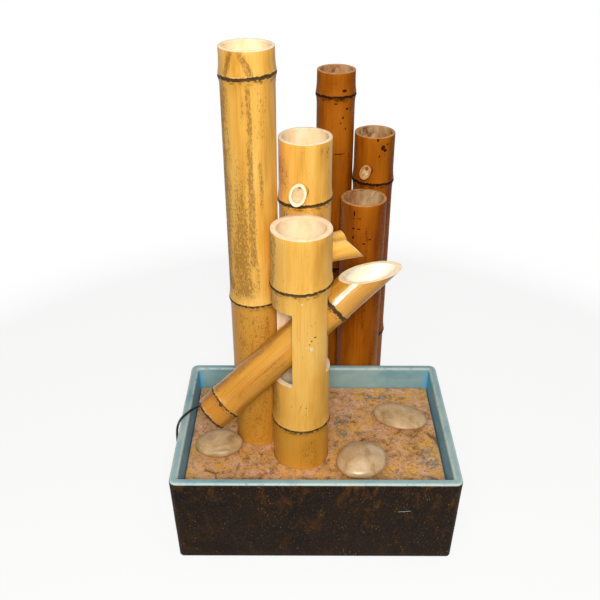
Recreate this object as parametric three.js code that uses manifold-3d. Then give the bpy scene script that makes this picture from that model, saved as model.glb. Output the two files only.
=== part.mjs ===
// A shishi odoshi: a bamboo rocker that fills under a bamboo spout, tips and knocks back.
// It stands in a glazed basin with a stone slab, in front of three dark bamboo posts.
// Millimetres, +Z up. The origin is the middle of the basin's underside, X runs to the right
// and Y runs away from the viewer.

import * as THREE from 'three';
import { mergeVertices } from 'three/addons/utils/BufferGeometryUtils.js';
import Module from 'manifold-3d';

const wasm = await Module();
wasm.setup();

// Fits shared by the whole object
const seatGap = 0.35;
const holeGap = 0.6;
const overrun = 6;
const weldDistance = 0.0004;

// Sides of the round pieces
const culmSides = 20;
const spoutSides = 16;
const smallSides = 12;
const dowelSides = 8;
const cornerSteps = 2;

// Basin
const basinWidth = 400;
const basinDepth = 275;
const basinHeight = 146;
const basinDrawIn = 4.5;
const basinWall = 12;
const basinFloor = 12;
const basinCornerRadius = 11;
const basinRimRound = 4;
const basinFootChamfer = 2.5;
const basinCove = 6;

// Stone slab, its hidden legs and the pebbles on it
const slabDrop = 35;
const slabThickness = 14;
const slabEdgeGap = 1.5;
const slabCornerRadius = 5;
const legSize = 22;
const legInset = 4;
const pebbleSides = 18;
const pebbleRings = 8;
const pebbleBellyShare = 0.45;
const pebbleLength = { left: 74, rear: 88, front: 80 };
const pebbleBreadth = { left: 60, rear: 60, front: 72 };
const pebbleHeight = { left: 22, rear: 18, front: 30 };
const pebbleTurn = { left: 8, rear: -20, front: 35 };
const pebbleSideRoom = { left: 7, rear: 8 };
const pebbleFrontRoom = { rear: 130, front: 20 };
const pebbleToTallGap = 0.5;
const pebbleToPivotGap = 7.5;

// Bamboo nodes
const nodeBulge = 2.2;
const nodeRidge = 1.2;
const nodeScar = 3;
const nodeFlareBelow = 14;
const nodeRidgeRise = 6;
const nodeFlareAbove = 20;
const diaphragm = 6;
const drainRadius = 5;

// Rocker and its pivot
const rockerRadius = 25;
const rockerWall = 5;
const rockerBulge = 1.8;
const rockerHeading = 20;
const rockerRestTilt = 38;
const rockerFullTilt = 25;
const rockerTail = 166;
const rockerTip = 162;
const rockerTailNode = 139;
const rockerMouthNode = 57;
const pivotHeight = 318;
const pinRadius = 3;
const pinProud = 0.8;

// Light posts: the pivot post carries the rocker, the feed post its water
const pivotPostX = -20;
const pivotPostY = -31;
const pivotPostRadius = 39.5;
const pivotPostWall = 7.5;
const pivotPostTop = 476.7;
const cupFloor = 402.1;
const pivotPostLowNode = 180.3;
const slotSideRoom = 6;
const slotLeftTop = 370;
const slotRightTop = 388;
const slotCornerRadius = 4;

const feedPostRadius = 35.2;
const feedPostWall = 4.9;
const feedPostTop = 566.2;
const feedPostNodes = [190, 483.9];
const feedToPivotGap = 6.3;
const feedToTallGap = 8.3;

const tallPostRadius = 33.5;
const tallPostWall = 4.8;
const tallPostTop = 686.7;
const tallPostNodes = [352.9, 655.7];
const tallToPivotGap = 5.8;
const tallToRockerGap = 2.6;

// Dark posts, which stand on the ground behind the basin
const darkCupX = 73.1;
const darkCupRadius = 34.3;
const darkCupTop = 428.7;
const darkCupNodes = [60];
const darkTallRadius = 28.2;
const darkTallTop = 605.2;
const darkTallNodes = [292, 571.3];
const darkTallAzimuth = 128.7;
const darkTallToCupGap = 6.8;
const darkFeedRadius = 31;
const darkFeedTop = 508;
const darkFeedNodes = [156, 434.3];
const darkFeedToCupGap = 2.8;
const darkFeedToTallGap = 3.2;
const darkWall = 4.5;
const dowelRadius = 4;
const dowelReach = 5;
const dowelLevels = [40, 122];

// Spouts: heading in plan, height, reach of the lower lip from the post's axis
const spoutWallShare = 0.3;
const spoutWeb = 4;
const spoutInside = 4;
const feedSpout = { radius: 11.2, heading: -101.5, height: 505, reach: 59.5, cutTilt: 45 };
const cupSpout = { radius: 13, heading: rockerHeading, height: 435.5, reach: 85, cutTilt: 48 };
const sideSpout = { radius: 9.2, heading: 30, height: 409, reach: 65, cutTilt: 45 };
const darkSpout = { radius: 8.6, heading: -112, height: 457.5, reach: 50, cutTilt: 45 };

// Pump under the slab
const pumpWidth = 46;
const pumpDepth = 40;
const pumpHeight = 40;
const pumpCorner = 5;
const pumpSideRoom = 52;
const pumpFootRadius = 7;
const pumpFootHeight = 6;
const volutRadius = 15;
const volutDepth = 12;
const rotorRadius = 7;
const rotorDepth = 20;
const vaneCount = 5;
const vaneThickness = 1.6;
const shaftRadius = 1.2;
const coverThickness = 3;
const coverSlotWidth = 2.6;
const coverSlots = 4;
const knobRadius = 5;
const knobThickness = 4;
const knobStemRadius = 2;
const knobGripLengthShare = 0.8;
const glandRadius = 5;
const glandLength = 8;
const glandNoseWall = 1.2;
const outletRadius = 4.2;
const outletNeck = 14;
const outletSeat = 8;
const outletFlange = 1.5;
const outletWall = 1;

// Riser hose from the pump to the feed spout
const hoseRadius = 4.5;
const hoseBore = 3;
const hoseBend = 34;
const hoseSides = 8;
const hoseSteps = 28;
const hoseBackShift = 17;
const hoseNotchRise = 40;

// Power lead
const leadDiameter = 3.6;
const leadSides = 8;
const leadSteps = 48;
const innerLeadSteps = 30;
const leadEndSteps = 4;
const grommetRadius = 6;
const grommetLip = 2.5;
const coilTurnsEachWay = 2.75;
const coilClimbTurns = 0.5;
const coilStartTurn = 0.75;
const coilMiddleDiameter = 43.2;
const coilPitch = 4.1;
const coilSteps = 24;
const coilTubeSides = 6;
const coilFromLeft = 65;
const coilY = 196;
const tieThickness = 0.8;
const tieWidth = 6;
const tieGap = 0.35;
const plugRadius = 5.8;
const plugLength = 21;
const plugTaperLength = 13;
const plugTaperRadius = 2.9;
const plugRibs = 3;
const plugRibShare = 0.6;
const plugShoulderShare = 0.8;
const barrelRadius = 2.75;
const barrelBore = 1.1;
const barrelLength = 9.5;

// Colours and surfaces
const finishes = {
  glaze: { color: 0x3a2a20, roughness: 0.35, metalness: 0 },
  stone: { color: 0xb98c66, roughness: 0.85, metalness: 0 },
  pebble: { color: 0x9a8a72, roughness: 0.7, metalness: 0 },
  lightBamboo: { color: 0xd9a550, roughness: 0.4, metalness: 0 },
  rockerBamboo: { color: 0xc98f35, roughness: 0.25, metalness: 0 },
  darkBamboo: { color: 0x8a4a18, roughness: 0.4, metalness: 0 },
  cutWood: { color: 0xe8cf9c, roughness: 0.7, metalness: 0 },
  plastic: { color: 0x1c1d1f, roughness: 0.5, metalness: 0 },
  hose: { color: 0xcfd4d0, roughness: 0.4, metalness: 0 },
  rubber: { color: 0x151515, roughness: 0.8, metalness: 0 },
  steel: { color: 0xc8cacc, roughness: 0.25, metalness: 1 },
};

const object = new THREE.Group();

// Adds a named piece with its finish at a place of its own
function addPiece(name, geometry, finish, place = [0, 0, 0]) {
  const mesh = new THREE.Mesh(geometry, new THREE.MeshStandardMaterial(finishes[finish]));
  mesh.name = name;
  mesh.position.set(...place);
  object.add(mesh);
  return mesh;
}

const radians = THREE.MathUtils.degToRad;
const sine = (degrees) => Math.sin(radians(degrees));
const cosine = (degrees) => Math.cos(radians(degrees));

// Turns a closed geometry into a solid for cutting, with its faces pointing outwards
function solidOf(geometry) {
  const bare = geometry.clone();
  bare.deleteAttribute('normal');
  bare.deleteAttribute('uv');
  const merged = mergeVertices(bare, weldDistance);
  const positions = merged.getAttribute('position').array;
  const index = merged.index.array;
  const triangles = [];
  let volume = 0;
  for (let i = 0; i < index.length; i += 3) {
    const [a, b, c] = [index[i], index[i + 1], index[i + 2]];
    if (a === b || b === c || c === a) continue;
    triangles.push(a, b, c);
    const corner = (n) => new THREE.Vector3().fromArray(positions, n * 3);
    volume += corner(a).dot(corner(b).cross(corner(c)));
  }
  if (volume < 0) triangles.reverse();
  return new wasm.Manifold(new wasm.Mesh({
    numProp: 3,
    vertProperties: new Float32Array(positions),
    triVerts: new Uint32Array(triangles),
  }));
}

// Turns a solid back into a flat-shaded geometry
function geometryOf(solid) {
  const mesh = solid.getMesh();
  const geometry = new THREE.BufferGeometry();
  geometry.setAttribute('position', new THREE.BufferAttribute(mesh.vertProperties.slice(), 3));
  geometry.setIndex(new THREE.BufferAttribute(mesh.triVerts.slice(), 1));
  const faceted = geometry.toNonIndexed();
  faceted.computeVertexNormals();
  return faceted;
}

// Joins some shapes and cuts others away from them
function carve(bodies, cuts = []) {
  const [first, ...others] = bodies.map(solidOf);
  const joined = others.reduce((whole, next) => whole.add(next), first);
  return geometryOf(cuts.map(solidOf).reduce((rest, cut) => rest.subtract(cut), joined));
}

// A turned shape about the Z axis from [radius, height] pairs
function turned(profile, sides = culmSides) {
  const points = profile.map(([radius, height]) => new THREE.Vector2(radius, height));
  return new THREE.LatheGeometry(points, sides).rotateX(Math.PI / 2);
}

// A plain round bar along Z between two heights
function bar(radius, from, to, sides = culmSides) {
  return turned([[0, from], [radius, from], [radius, to], [0, to]], sides);
}

// The same bar lying along X
function barAlongX(radius, from, to, sides = smallSides) {
  return bar(radius, from, to, sides).rotateY(Math.PI / 2);
}

// The same bar lying along Y
function barAlongY(radius, from, to, sides = smallSides) {
  return bar(radius, from, to, sides).rotateX(-Math.PI / 2);
}

// A rectangle with round corners, centred on its origin
function roundedRectangle(width, depth, radius, Kind = THREE.Shape) {
  const [x, y] = [width / 2 - radius, depth / 2 - radius];
  const outline = new Kind();
  outline.absarc(x, y, radius, 0, Math.PI / 2);
  outline.absarc(-x, y, radius, Math.PI / 2, Math.PI);
  outline.absarc(-x, -y, radius, Math.PI, 1.5 * Math.PI);
  outline.absarc(x, -y, radius, 1.5 * Math.PI, 2 * Math.PI);
  return outline;
}

// A plate of an outline, rising from one height by its thickness
function plate(outline, bottom, thickness, curveSegments = cornerSteps) {
  return new THREE.ExtrudeGeometry(outline, { depth: thickness, bevelEnabled: false, curveSegments })
    .translate(0, 0, bottom);
}

// The swelling of a culm at a node: flare, dark scar, ridge and back to the plain wall
function nodeOutline(radius, height, bulge) {
  return [
    [radius, height - nodeFlareBelow],
    [radius + bulge, height - nodeScar / 2],
    [radius + bulge / 2, height + nodeScar / 2],
    [radius + nodeRidge, height + nodeRidgeRise],
    [radius, height + nodeFlareAbove],
  ];
}

// The outer skin of a culm between two heights
function culmSkin({ radius, foot, top, nodes, bulge = nodeBulge }) {
  const swellings = nodes.flatMap((height) => nodeOutline(radius, height, bulge));
  return turned([[0, foot], [radius, foot], ...swellings, [radius, top], [0, top]]);
}

// The hollow internodes of a culm, each ending at a diaphragm or running out of an end
function culmHollows({ radius, wall, foot, top, nodes }) {
  const closings = nodes.flatMap((height) => [height - diaphragm / 2, height + diaphragm / 2]);
  const ends = [foot - overrun, ...closings, top + overrun];
  const hollows = [];
  for (let i = 0; i < ends.length; i += 2) {
    hollows.push(bar(radius - wall, ends[i], ends[i + 1]));
  }
  return hollows;
}

// A wedge that takes everything past a slanted line from the top edge to the lower tip of a tube
function slantCut(radius, topStart, tip) {
  const across = new THREE.Vector2(tip - topStart, -2 * radius);
  const length = across.length();
  const along = across.clone().normalize();
  const outward = new THREE.Vector2(-along.y, along.x);
  const start = new THREE.Vector2(topStart, radius).addScaledVector(along, -radius);
  const end = new THREE.Vector2(tip, -radius).addScaledVector(along, radius);
  const shape = new THREE.Shape([
    start, end,
    end.clone().addScaledVector(outward, length),
    start.clone().addScaledVector(outward, length),
  ]);
  const half = 2 * radius;
  return plate(shape, -half, 2 * half).rotateX(Math.PI / 2);
}

// Headings in plan as unit vectors
function headingVector(degrees) {
  return new THREE.Vector2(cosine(degrees), sine(degrees));
}

// The place of a round post that keeps its gaps to two others, to the right of the line a to b
function besideBoth(a, b, radius, gapToA, gapToB) {
  const line = b.place.clone().sub(a.place);
  const between = line.length();
  const toA = a.radius + radius + gapToA;
  const toB = b.radius + radius + gapToB;
  const along = (toA ** 2 - toB ** 2 + between ** 2) / (2 * between);
  const aside = Math.sqrt(Math.max(0, toA ** 2 - along ** 2));
  const direction = line.divideScalar(between);
  const right = new THREE.Vector2(direction.y, -direction.x);
  return a.place.clone().addScaledVector(direction, along).addScaledVector(right, aside);
}

// Heights that follow from the basin and the rocker
const slabTop = basinHeight - slabDrop;
const slabBottom = slabTop - slabThickness;
const insideFoot = basinFloor + seatGap;
const slotHalf = rockerRadius + slotSideRoom;
const sillDepth = (tilt, radius) => pivotPostRadius * Math.tan(radians(tilt)) + radius / cosine(tilt);
const slotLeftSill = pivotHeight - sillDepth(rockerRestTilt, rockerRadius) - seatGap;

// The rocker's mouth node comes down on the right sill
const slotRightSill = pivotHeight - sillDepth(rockerFullTilt, rockerRadius + rockerBulge) - seatGap;

// Places of the posts
const pivotPost = {
  radius: pivotPostRadius, wall: pivotPostWall, foot: insideFoot, top: pivotPostTop,
  nodes: [pivotPostLowNode, cupFloor], place: new THREE.Vector2(pivotPostX, pivotPostY),
};
const tallAside = rockerRadius + rockerBulge + tallPostRadius + nodeBulge + tallToRockerGap;
const tallReach = pivotPostRadius + tallPostRadius + tallToPivotGap;
const tallBack = Math.sqrt(Math.max(0, tallReach ** 2 - tallAside ** 2));
const tallPost = {
  radius: tallPostRadius, wall: tallPostWall, foot: insideFoot, top: tallPostTop, nodes: tallPostNodes,
  place: pivotPost.place.clone()
    .addScaledVector(headingVector(rockerHeading), -tallBack)
    .addScaledVector(headingVector(rockerHeading + 90), tallAside),
};
const feedPost = {
  radius: feedPostRadius, wall: feedPostWall, foot: insideFoot, top: feedPostTop, nodes: feedPostNodes,
};
feedPost.place = besideBoth(pivotPost, tallPost, feedPost.radius, feedToPivotGap, feedToTallGap);

// The dark cup post leans on the basin's rim; its low node swells into the wall's draw-in
const darkCupNodeRoom = Math.max(0, nodeBulge - basinDrawIn * (1 - darkCupNodes[0] / basinHeight));
const darkCupPost = {
  radius: darkCupRadius, wall: darkWall, foot: 0, top: darkCupTop, nodes: darkCupNodes,
  place: new THREE.Vector2(darkCupX, basinDepth / 2 + darkCupNodeRoom + seatGap + darkCupRadius),
};
const darkTallPost = {
  radius: darkTallRadius, wall: darkWall, foot: 0, top: darkTallTop, nodes: darkTallNodes,
  place: darkCupPost.place.clone().addScaledVector(
    headingVector(darkTallAzimuth), darkCupRadius + darkTallRadius + darkTallToCupGap),
};
const darkFeedPost = {
  radius: darkFeedRadius, wall: darkWall, foot: 0, top: darkFeedTop, nodes: darkFeedNodes,
};
darkFeedPost.place = besideBoth(
  darkCupPost, darkTallPost, darkFeedRadius, darkFeedToCupGap, darkFeedToTallGap);

// The basin, lofted through rounded rectangles from the underside, over the rim to the inside floor
function basinGeometry() {
  const drawIn = (height) => basinDrawIn * (1 - height / basinHeight);
  const rimCentre = basinHeight - basinRimRound;
  const insideTop = basinWall - basinRimRound;
  const sections = [
    [drawIn(0) + basinFootChamfer, 0],
    [drawIn(basinFootChamfer), basinFootChamfer],
    [drawIn(rimCentre), rimCentre],
    [basinRimRound * (1 - Math.SQRT1_2), rimCentre + basinRimRound * Math.SQRT1_2],
    [basinRimRound, basinHeight],
    [insideTop, basinHeight],
    [basinWall - basinRimRound * (1 - Math.SQRT1_2), rimCentre + basinRimRound * Math.SQRT1_2],
    [basinWall + drawIn(rimCentre), rimCentre],
    [basinWall + drawIn(basinFloor + basinCove), basinFloor + basinCove],
    [basinWall + drawIn(basinFloor) + basinCove, basinFloor],
  ];
  const rings = sections.map(([inset, height]) => {
    const corner = Math.max(basinCornerRadius - inset, basinRimRound);
    const outline = roundedRectangle(basinWidth - 2 * inset, basinDepth - 2 * inset, corner);
    const points = outline.getPoints(cornerSteps);
    return points.slice(0, -1).map(({ x, y }) => [x, y, height]);
  });
  const perRing = rings[0].length;
  const positions = [...rings.flat(2), 0, 0, 0, 0, 0, basinFloor];
  const [underCentre, floorCentre] = [perRing * rings.length, perRing * rings.length + 1];
  const faces = [];
  for (let ring = 0; ring < rings.length - 1; ring += 1) {
    for (let i = 0; i < perRing; i += 1) {
      const next = (i + 1) % perRing;
      const [a, b] = [ring * perRing + i, ring * perRing + next];
      faces.push(a, b, b + perRing, a, b + perRing, a + perRing);
    }
  }
  const last = perRing * (rings.length - 1);
  for (let i = 0; i < perRing; i += 1) {
    const next = (i + 1) % perRing;
    faces.push(underCentre, next, i, floorCentre, last + i, last + next);
  }
  const geometry = new THREE.BufferGeometry();
  geometry.setAttribute('position', new THREE.Float32BufferAttribute(positions, 3));
  geometry.setIndex(faces);
  return carve([geometry]);
}

addPiece('glazed_basin', basinGeometry(), 'glaze');

// The slab fills the basin's opening, with a hole for each light post and for the lead
const insideInset = basinWall + basinDrawIn * (1 - slabBottom / basinHeight) + slabEdgeGap;
const slabWidth = basinWidth - 2 * insideInset;
const slabDepth = basinDepth - 2 * insideInset;

// Hand-laid points, their X from the basin's left side, as points in the frame
const fromBasinLeft = (points) => points.map(([x, y, z]) => [x - basinWidth / 2, y, z]);

// The lead's route from the grommet over the rim and along the ground to the coil
const leadRoute = fromBasinLeft([
  [42, 44, 113.85], [42, 44, 120], [39.8, 42.2, 128], [35.2, 38.2, 136.6],
  [29, 32.2, 143.6], [21.6, 24.6, 147.8], [14, 15.6, 149.2], [9, 8.8, 149.1],
  [4.5, 2.4, 148.8], [0.7, -3.7, 147.4], [-2.4, -8.7, 143.4], [-4.4, -12, 137],
  [-5.3, -13.6, 129], [-5.6, -14.2, 118], [-5.6, -14.3, 100], [-5.5, -14.3, 80],
  [-5.3, -14.3, 60], [-5.1, -14.2, 42], [-4.9, -12.4, 26], [-4.7, -6.8, 12.4],
  [-4.5, 2.6, 4.4], [-4.3, 14, 2.2], [-4, 30, 2.1], [-3.6, 55, 2.1],
  [-3.2, 80, 2.1], [-2.6, 105, 2.1], [-0.4, 128, 2.1], [6, 147, 2.1],
  [18, 160, 2.2], [34, 167, 2.7], [50, 168.25, 3], [61.05, 168.25, 3],
]);
const [leadX, leadY] = leadRoute[0];
const grommetHole = grommetRadius - leadDiameter / 4;

function slabGeometry() {
  const outline = roundedRectangle(slabWidth, slabDepth, slabCornerRadius);
  const hole = (radius, x, y, sides) => (
    bar(radius, slabBottom - overrun, slabTop + overrun, sides).translate(x, y, 0));
  const postHoles = [pivotPost, tallPost, feedPost]
    .map(({ place, radius }) => hole(radius + holeGap, place.x, place.y, culmSides));
  const leadHole = hole(grommetHole, leadX, leadY, smallSides);
  return carve([plate(outline, slabBottom, slabThickness)], [...postHoles, leadHole]);
}

addPiece('stone_slab', slabGeometry(), 'stone');

// Four legs hold the slab over the pump
const legHeight = slabBottom - seatGap - insideFoot;
for (const [side, alongX] of [['left', -1], ['right', 1]]) {
  for (const [end, alongY] of [['front', -1], ['rear', 1]]) {
    const outline = roundedRectangle(legSize, legSize, legInset);
    const x = alongX * (slabWidth / 2 - legInset - basinCove - legSize / 2);
    const y = alongY * (slabDepth / 2 - legInset - basinCove - legSize / 2);
    addPiece(`slab_leg_${end}_${side}`, plate(outline, insideFoot, legHeight), 'stone', [x, y, 0]);
  }
}

// A pebble is a squashed ball, flatter below, with a flat spot where it lies
function pebbleGeometry(length, breadth, height) {
  const ball = new THREE.SphereGeometry(1, pebbleSides, pebbleRings).rotateX(Math.PI / 2);
  const points = ball.getAttribute('position');
  const belly = height * pebbleBellyShare;
  for (let i = 0; i < points.count; i += 1) {
    const up = points.getZ(i);
    const z = up > 0 ? belly + up * (height - belly) : belly + up * belly;
    points.setXYZ(i, points.getX(i) * length / 2, points.getY(i) * breadth / 2, z);
  }
  return carve([ball]);
}

// The left pebble lies against the tall post, the front one beside the pivot post
const leftPebbleX = pebbleSideRoom.left + pebbleLength.left / 2 - slabWidth / 2;
const leftPebbleReach = tallPostRadius + pebbleLength.left / 2 + pebbleToTallGap;
const leftPebbleFront = Math.sqrt(Math.max(0, leftPebbleReach ** 2 - (tallPost.place.x - leftPebbleX) ** 2));
const fromFront = (name) => pebbleFrontRoom[name] + pebbleBreadth[name] / 2 - slabDepth / 2;
const pebblePlaces = {
  left: [leftPebbleX, tallPost.place.y - leftPebbleFront],
  rear: [slabWidth / 2 - pebbleSideRoom.rear - pebbleLength.rear / 2, fromFront('rear')],
  front: [pivotPostX + pivotPostRadius + pebbleToPivotGap + pebbleLength.front / 2, fromFront('front')],
};
for (const [name, place] of Object.entries(pebblePlaces)) {
  const geometry = pebbleGeometry(pebbleLength[name], pebbleBreadth[name], pebbleHeight[name]);
  const seat = [...place, slabTop + seatGap];
  addPiece(`pebble_${name}`, geometry, 'pebble', seat).rotation.z = radians(pebbleTurn[name]);
}

// A spout is a short bamboo tube through a post's wall, with a drilled web behind its slanted mouth
function spoutStart(post) {
  return post.radius - post.wall - spoutInside;
}

function spoutGeometry(spout, post, innerBore) {
  const { radius, reach, cutTilt } = spout;
  const topStart = reach - 2 * radius * Math.tan(radians(cutTilt));
  const webEnd = Math.min(topStart, post.radius) - spoutWeb / 2;
  const mouth = radius * (1 - spoutWallShare);
  return carve(
    [barAlongX(radius, spoutStart(post), reach + radius, spoutSides)],
    [
      barAlongX(mouth, webEnd, reach + 2 * radius, spoutSides),
      barAlongX(innerBore, spoutStart(post) - overrun, reach, smallSides),
      slantCut(radius, topStart, reach),
    ],
  );
}

// The hole that a spout needs in its post, in the post's own frame
function spoutHole(spout) {
  return barAlongX(spout.radius + seatGap, 0, 2 * spout.reach, spoutSides)
    .rotateZ(radians(spout.heading)).translate(0, 0, spout.height);
}

function addSpout(name, spout, post, innerBore, finish) {
  const place = [post.place.x, post.place.y, spout.height];
  addPiece(name, spoutGeometry(spout, post, innerBore), finish, place).rotation.z = radians(spout.heading);
}

// Places a culm with its hollows, drilled through the given nodes, and further cuts
function addCulm(name, post, finish, drillTo, cuts = []) {
  const drill = bar(drainRadius, post.foot - overrun, drillTo, smallSides);
  const geometry = carve([culmSkin(post)], [...culmHollows(post), drill, ...cuts]);
  return addPiece(name, geometry, finish, [post.place.x, post.place.y, 0]);
}

// Pivot post: cup on top, two tall slots for the rocker and a bore for its pin
function slotCut(fromX, toX, sill, top) {
  const outline = roundedRectangle(toX - fromX, 2 * slotHalf, slotCornerRadius / 2);
  return plate(outline, sill, top - sill).translate((fromX + toX) / 2, 0, 0);
}

const slotReach = pivotPostRadius + overrun;
const pivotCuts = [
  slotCut(-slotReach, slotCornerRadius, slotLeftSill, slotLeftTop),
  slotCut(-slotCornerRadius, slotReach, slotRightSill, slotRightTop),
  barAlongY(pinRadius + seatGap, -slotReach, slotReach).translate(0, 0, pivotHeight),
].map((cut) => cut.rotateZ(radians(rockerHeading)));
addCulm('pivot_post', pivotPost, 'lightBamboo', cupFloor - diaphragm, [...pivotCuts, spoutHole(cupSpout)]);
addSpout('cup_spout', cupSpout, pivotPost, cupSpout.radius * (1 - spoutWallShare), 'lightBamboo');

// Pin through both cheeks of the pivot post
const pinHalf = pivotPostRadius + pinProud;
const pivotPlace = [pivotPostX, pivotPostY, pivotHeight];
addPiece('pivot_pin', barAlongY(pinRadius, -pinHalf, pinHalf), 'cutWood', pivotPlace)
  .rotation.z = radians(rockerHeading);

// Rocker: closed by two nodes, open and cut slanting at the mouth
function rockerGeometry() {
  const culm = {
    radius: rockerRadius, wall: rockerWall, foot: -rockerTail, top: rockerTip + rockerRadius,
    nodes: [-rockerTailNode, rockerMouthNode], bulge: rockerBulge,
  };
  const mouthStart = rockerTip - 2 * rockerRadius / Math.tan(radians(rockerRestTilt));
  const lying = [culmSkin(culm), ...culmHollows(culm)].map((shape) => shape.rotateY(Math.PI / 2));
  const bore = barAlongY(pinRadius + seatGap, -2 * rockerRadius, 2 * rockerRadius);
  return carve([lying[0]], [...lying.slice(1), bore, slantCut(rockerRadius, mouthStart, rockerTip)]);
}

const rocker = addPiece('rocker', rockerGeometry(), 'rockerBamboo', pivotPlace);
rocker.rotation.set(0, -radians(rockerRestTilt), radians(rockerHeading), 'ZYX');

// Tall post stands free beside the rocker
addCulm('tall_post', tallPost, 'lightBamboo', tallPostNodes.at(-1) + overrun);

// Pump: its outlet looks left, in line with the hose's rise up the back of the feed post
const spoutBack = headingVector(feedSpout.heading).multiplyScalar(-hoseBackShift);
const hoseX = feedPost.place.x + spoutBack.x;
const hoseY = feedPost.place.y + spoutBack.y;
const pumpBottom = insideFoot + pumpFootHeight + seatGap;
const pumpX = slabWidth / 2 - pumpSideRoom - pumpWidth / 2;
const pumpFrontY = hoseY - volutDepth / 2;
const pumpY = pumpFrontY + pumpDepth / 2;
const pumpAxisZ = pumpBottom + pumpHeight / 2;
const hoseZ = pumpAxisZ + volutRadius / 2;

function pumpBodyGeometry() {
  const outletX = -pumpWidth / 2;
  return carve(
    [plate(roundedRectangle(pumpWidth, pumpDepth, pumpCorner), pumpBottom, pumpHeight)],
    [
      barAlongY(volutRadius, -pumpDepth, volutDepth - pumpDepth / 2, spoutSides).translate(0, 0, pumpAxisZ),
      barAlongY(rotorRadius + holeGap, -pumpDepth, volutDepth + rotorDepth - pumpDepth / 2, spoutSides)
        .translate(0, 0, pumpAxisZ),
      barAlongX(outletRadius + seatGap, outletX - overrun, 0).translate(0, hoseY - pumpY, hoseZ),
    ],
  );
}

addPiece('pump_body', pumpBodyGeometry(), 'plastic', [pumpX, pumpY, 0]);

// Four soft feet under the pump's corners
for (const [side, alongX] of [['left', -1], ['right', 1]]) {
  for (const [end, alongY] of [['front', -1], ['rear', 1]]) {
    const foot = turned([
      [0, insideFoot], [pumpFootRadius, insideFoot], [pumpFootRadius / 2, insideFoot + pumpFootHeight / 2],
      [pumpFootRadius / 2, insideFoot + pumpFootHeight], [0, insideFoot + pumpFootHeight],
    ], smallSides);
    const x = pumpX + alongX * (pumpWidth / 2 - pumpFootRadius);
    const y = pumpY + alongY * (pumpDepth / 2 - pumpFootRadius);
    addPiece(`pump_foot_${end}_${side}`, foot, 'rubber', [x, y, 0]);
  }
}

// Cover with intake slots below and the flow knob's hole above
const knobZ = pumpHeight / 2 - knobRadius - coverSlotWidth;
const coverY = pumpFrontY - seatGap;

function pumpCoverGeometry() {
  const outline = roundedRectangle(pumpWidth, pumpHeight, pumpCorner);
  const slotPitch = 2 * coverSlotWidth;
  const slotLength = pumpHeight / 2 - coverSlotWidth;
  const cuts = [];
  for (let i = 0; i < coverSlots; i += 1) {
    const x = (i - (coverSlots - 1) / 2) * slotPitch;
    const slot = roundedRectangle(coverSlotWidth, slotLength, coverSlotWidth / 3);
    cuts.push(plate(slot, -overrun, 2 * overrun + coverThickness).translate(x, -slotLength / 2, 0));
  }
  const stemHole = bar(knobStemRadius + seatGap, -overrun, overrun + coverThickness, smallSides);
  cuts.push(stemHole.translate(0, knobZ, 0));
  return carve([plate(outline, 0, coverThickness)], cuts).rotateX(Math.PI / 2);
}

addPiece('pump_cover', pumpCoverGeometry(), 'plastic', [pumpX, coverY, pumpAxisZ]);

// Flow knob: a stem through the cover, a disc and a finger bar
function flowKnobGeometry() {
  const face = coverThickness + seatGap;
  const grip = roundedRectangle(2 * knobRadius * knobGripLengthShare, knobRadius / 2, knobRadius / 5);
  return carve([
    turned([
      [0, 0], [knobStemRadius, 0], [knobStemRadius, face], [knobRadius, face],
      [knobRadius, face + knobThickness / 2], [0, face + knobThickness / 2],
    ], spoutSides),
    plate(grip, face, knobThickness),
  ]).rotateX(Math.PI / 2);
}

addPiece('pump_flow_knob', flowKnobGeometry(), 'plastic', [pumpX, coverY, pumpAxisZ + knobZ]);

// Impeller on its shaft: a disc with vanes in front of a round magnet
function impellerGeometry() {
  const disc = vaneThickness;
  const magnet = bar(rotorRadius - holeGap, -rotorDepth + holeGap, 0, spoutSides);
  const vanes = [];
  const vaneRoom = volutRadius - knobStemRadius;
  for (let i = 0; i < vaneCount; i += 1) {
    const vane = plate(roundedRectangle(vaneRoom, vaneThickness, vaneThickness / 4), 0, volutDepth / 2);
    vanes.push(vane.translate(vaneRoom / 2, 0, 0).rotateZ(2 * Math.PI * i / vaneCount));
  }
  const hub = bar(rotorRadius - holeGap, 0, disc, spoutSides);
  const bore = bar(shaftRadius + seatGap, -rotorDepth - overrun, volutDepth, smallSides);
  return carve([magnet, hub, ...vanes], [bore]).rotateX(Math.PI / 2);
}

const rotorY = pumpFrontY + volutDepth;
addPiece('pump_impeller', impellerGeometry(), 'rubber', [pumpX, rotorY, pumpAxisZ]);
const shaft = barAlongY(shaftRadius, pumpFrontY, rotorY + rotorDepth - seatGap);
addPiece('pump_shaft', shaft, 'steel', [pumpX, 0, pumpAxisZ]);

// Outlet nozzle pressed into the pump's left side, inside the hose's end
const nozzleX = pumpX - pumpWidth / 2;
const flangeX = -seatGap - outletFlange;

function outletGeometry() {
  const neck = hoseBore - seatGap;
  const bore = neck - outletWall;
  return carve([turned([
    [bore, -outletNeck], [neck, -outletNeck], [neck, flangeX], [outletRadius + outletFlange, flangeX],
    [outletRadius + outletFlange, -seatGap], [outletRadius, -seatGap], [outletRadius, outletSeat],
    [bore, outletSeat], [bore, -outletNeck],
  ], smallSides).rotateY(Math.PI / 2)]);
}

addPiece('pump_outlet', outletGeometry(), 'plastic', [nozzleX, hoseY, hoseZ]);

// Riser hose: level from the pump, up the back of the feed post and over to the spout
const hoseEntry = new THREE.Vector3(nozzleX + flangeX - seatGap, hoseY, hoseZ);
const riserTop = feedSpout.height;
const hoseForward = headingVector(feedSpout.heading);
const hoseEnd = spoutStart(feedPost) + spoutWeb;

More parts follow.
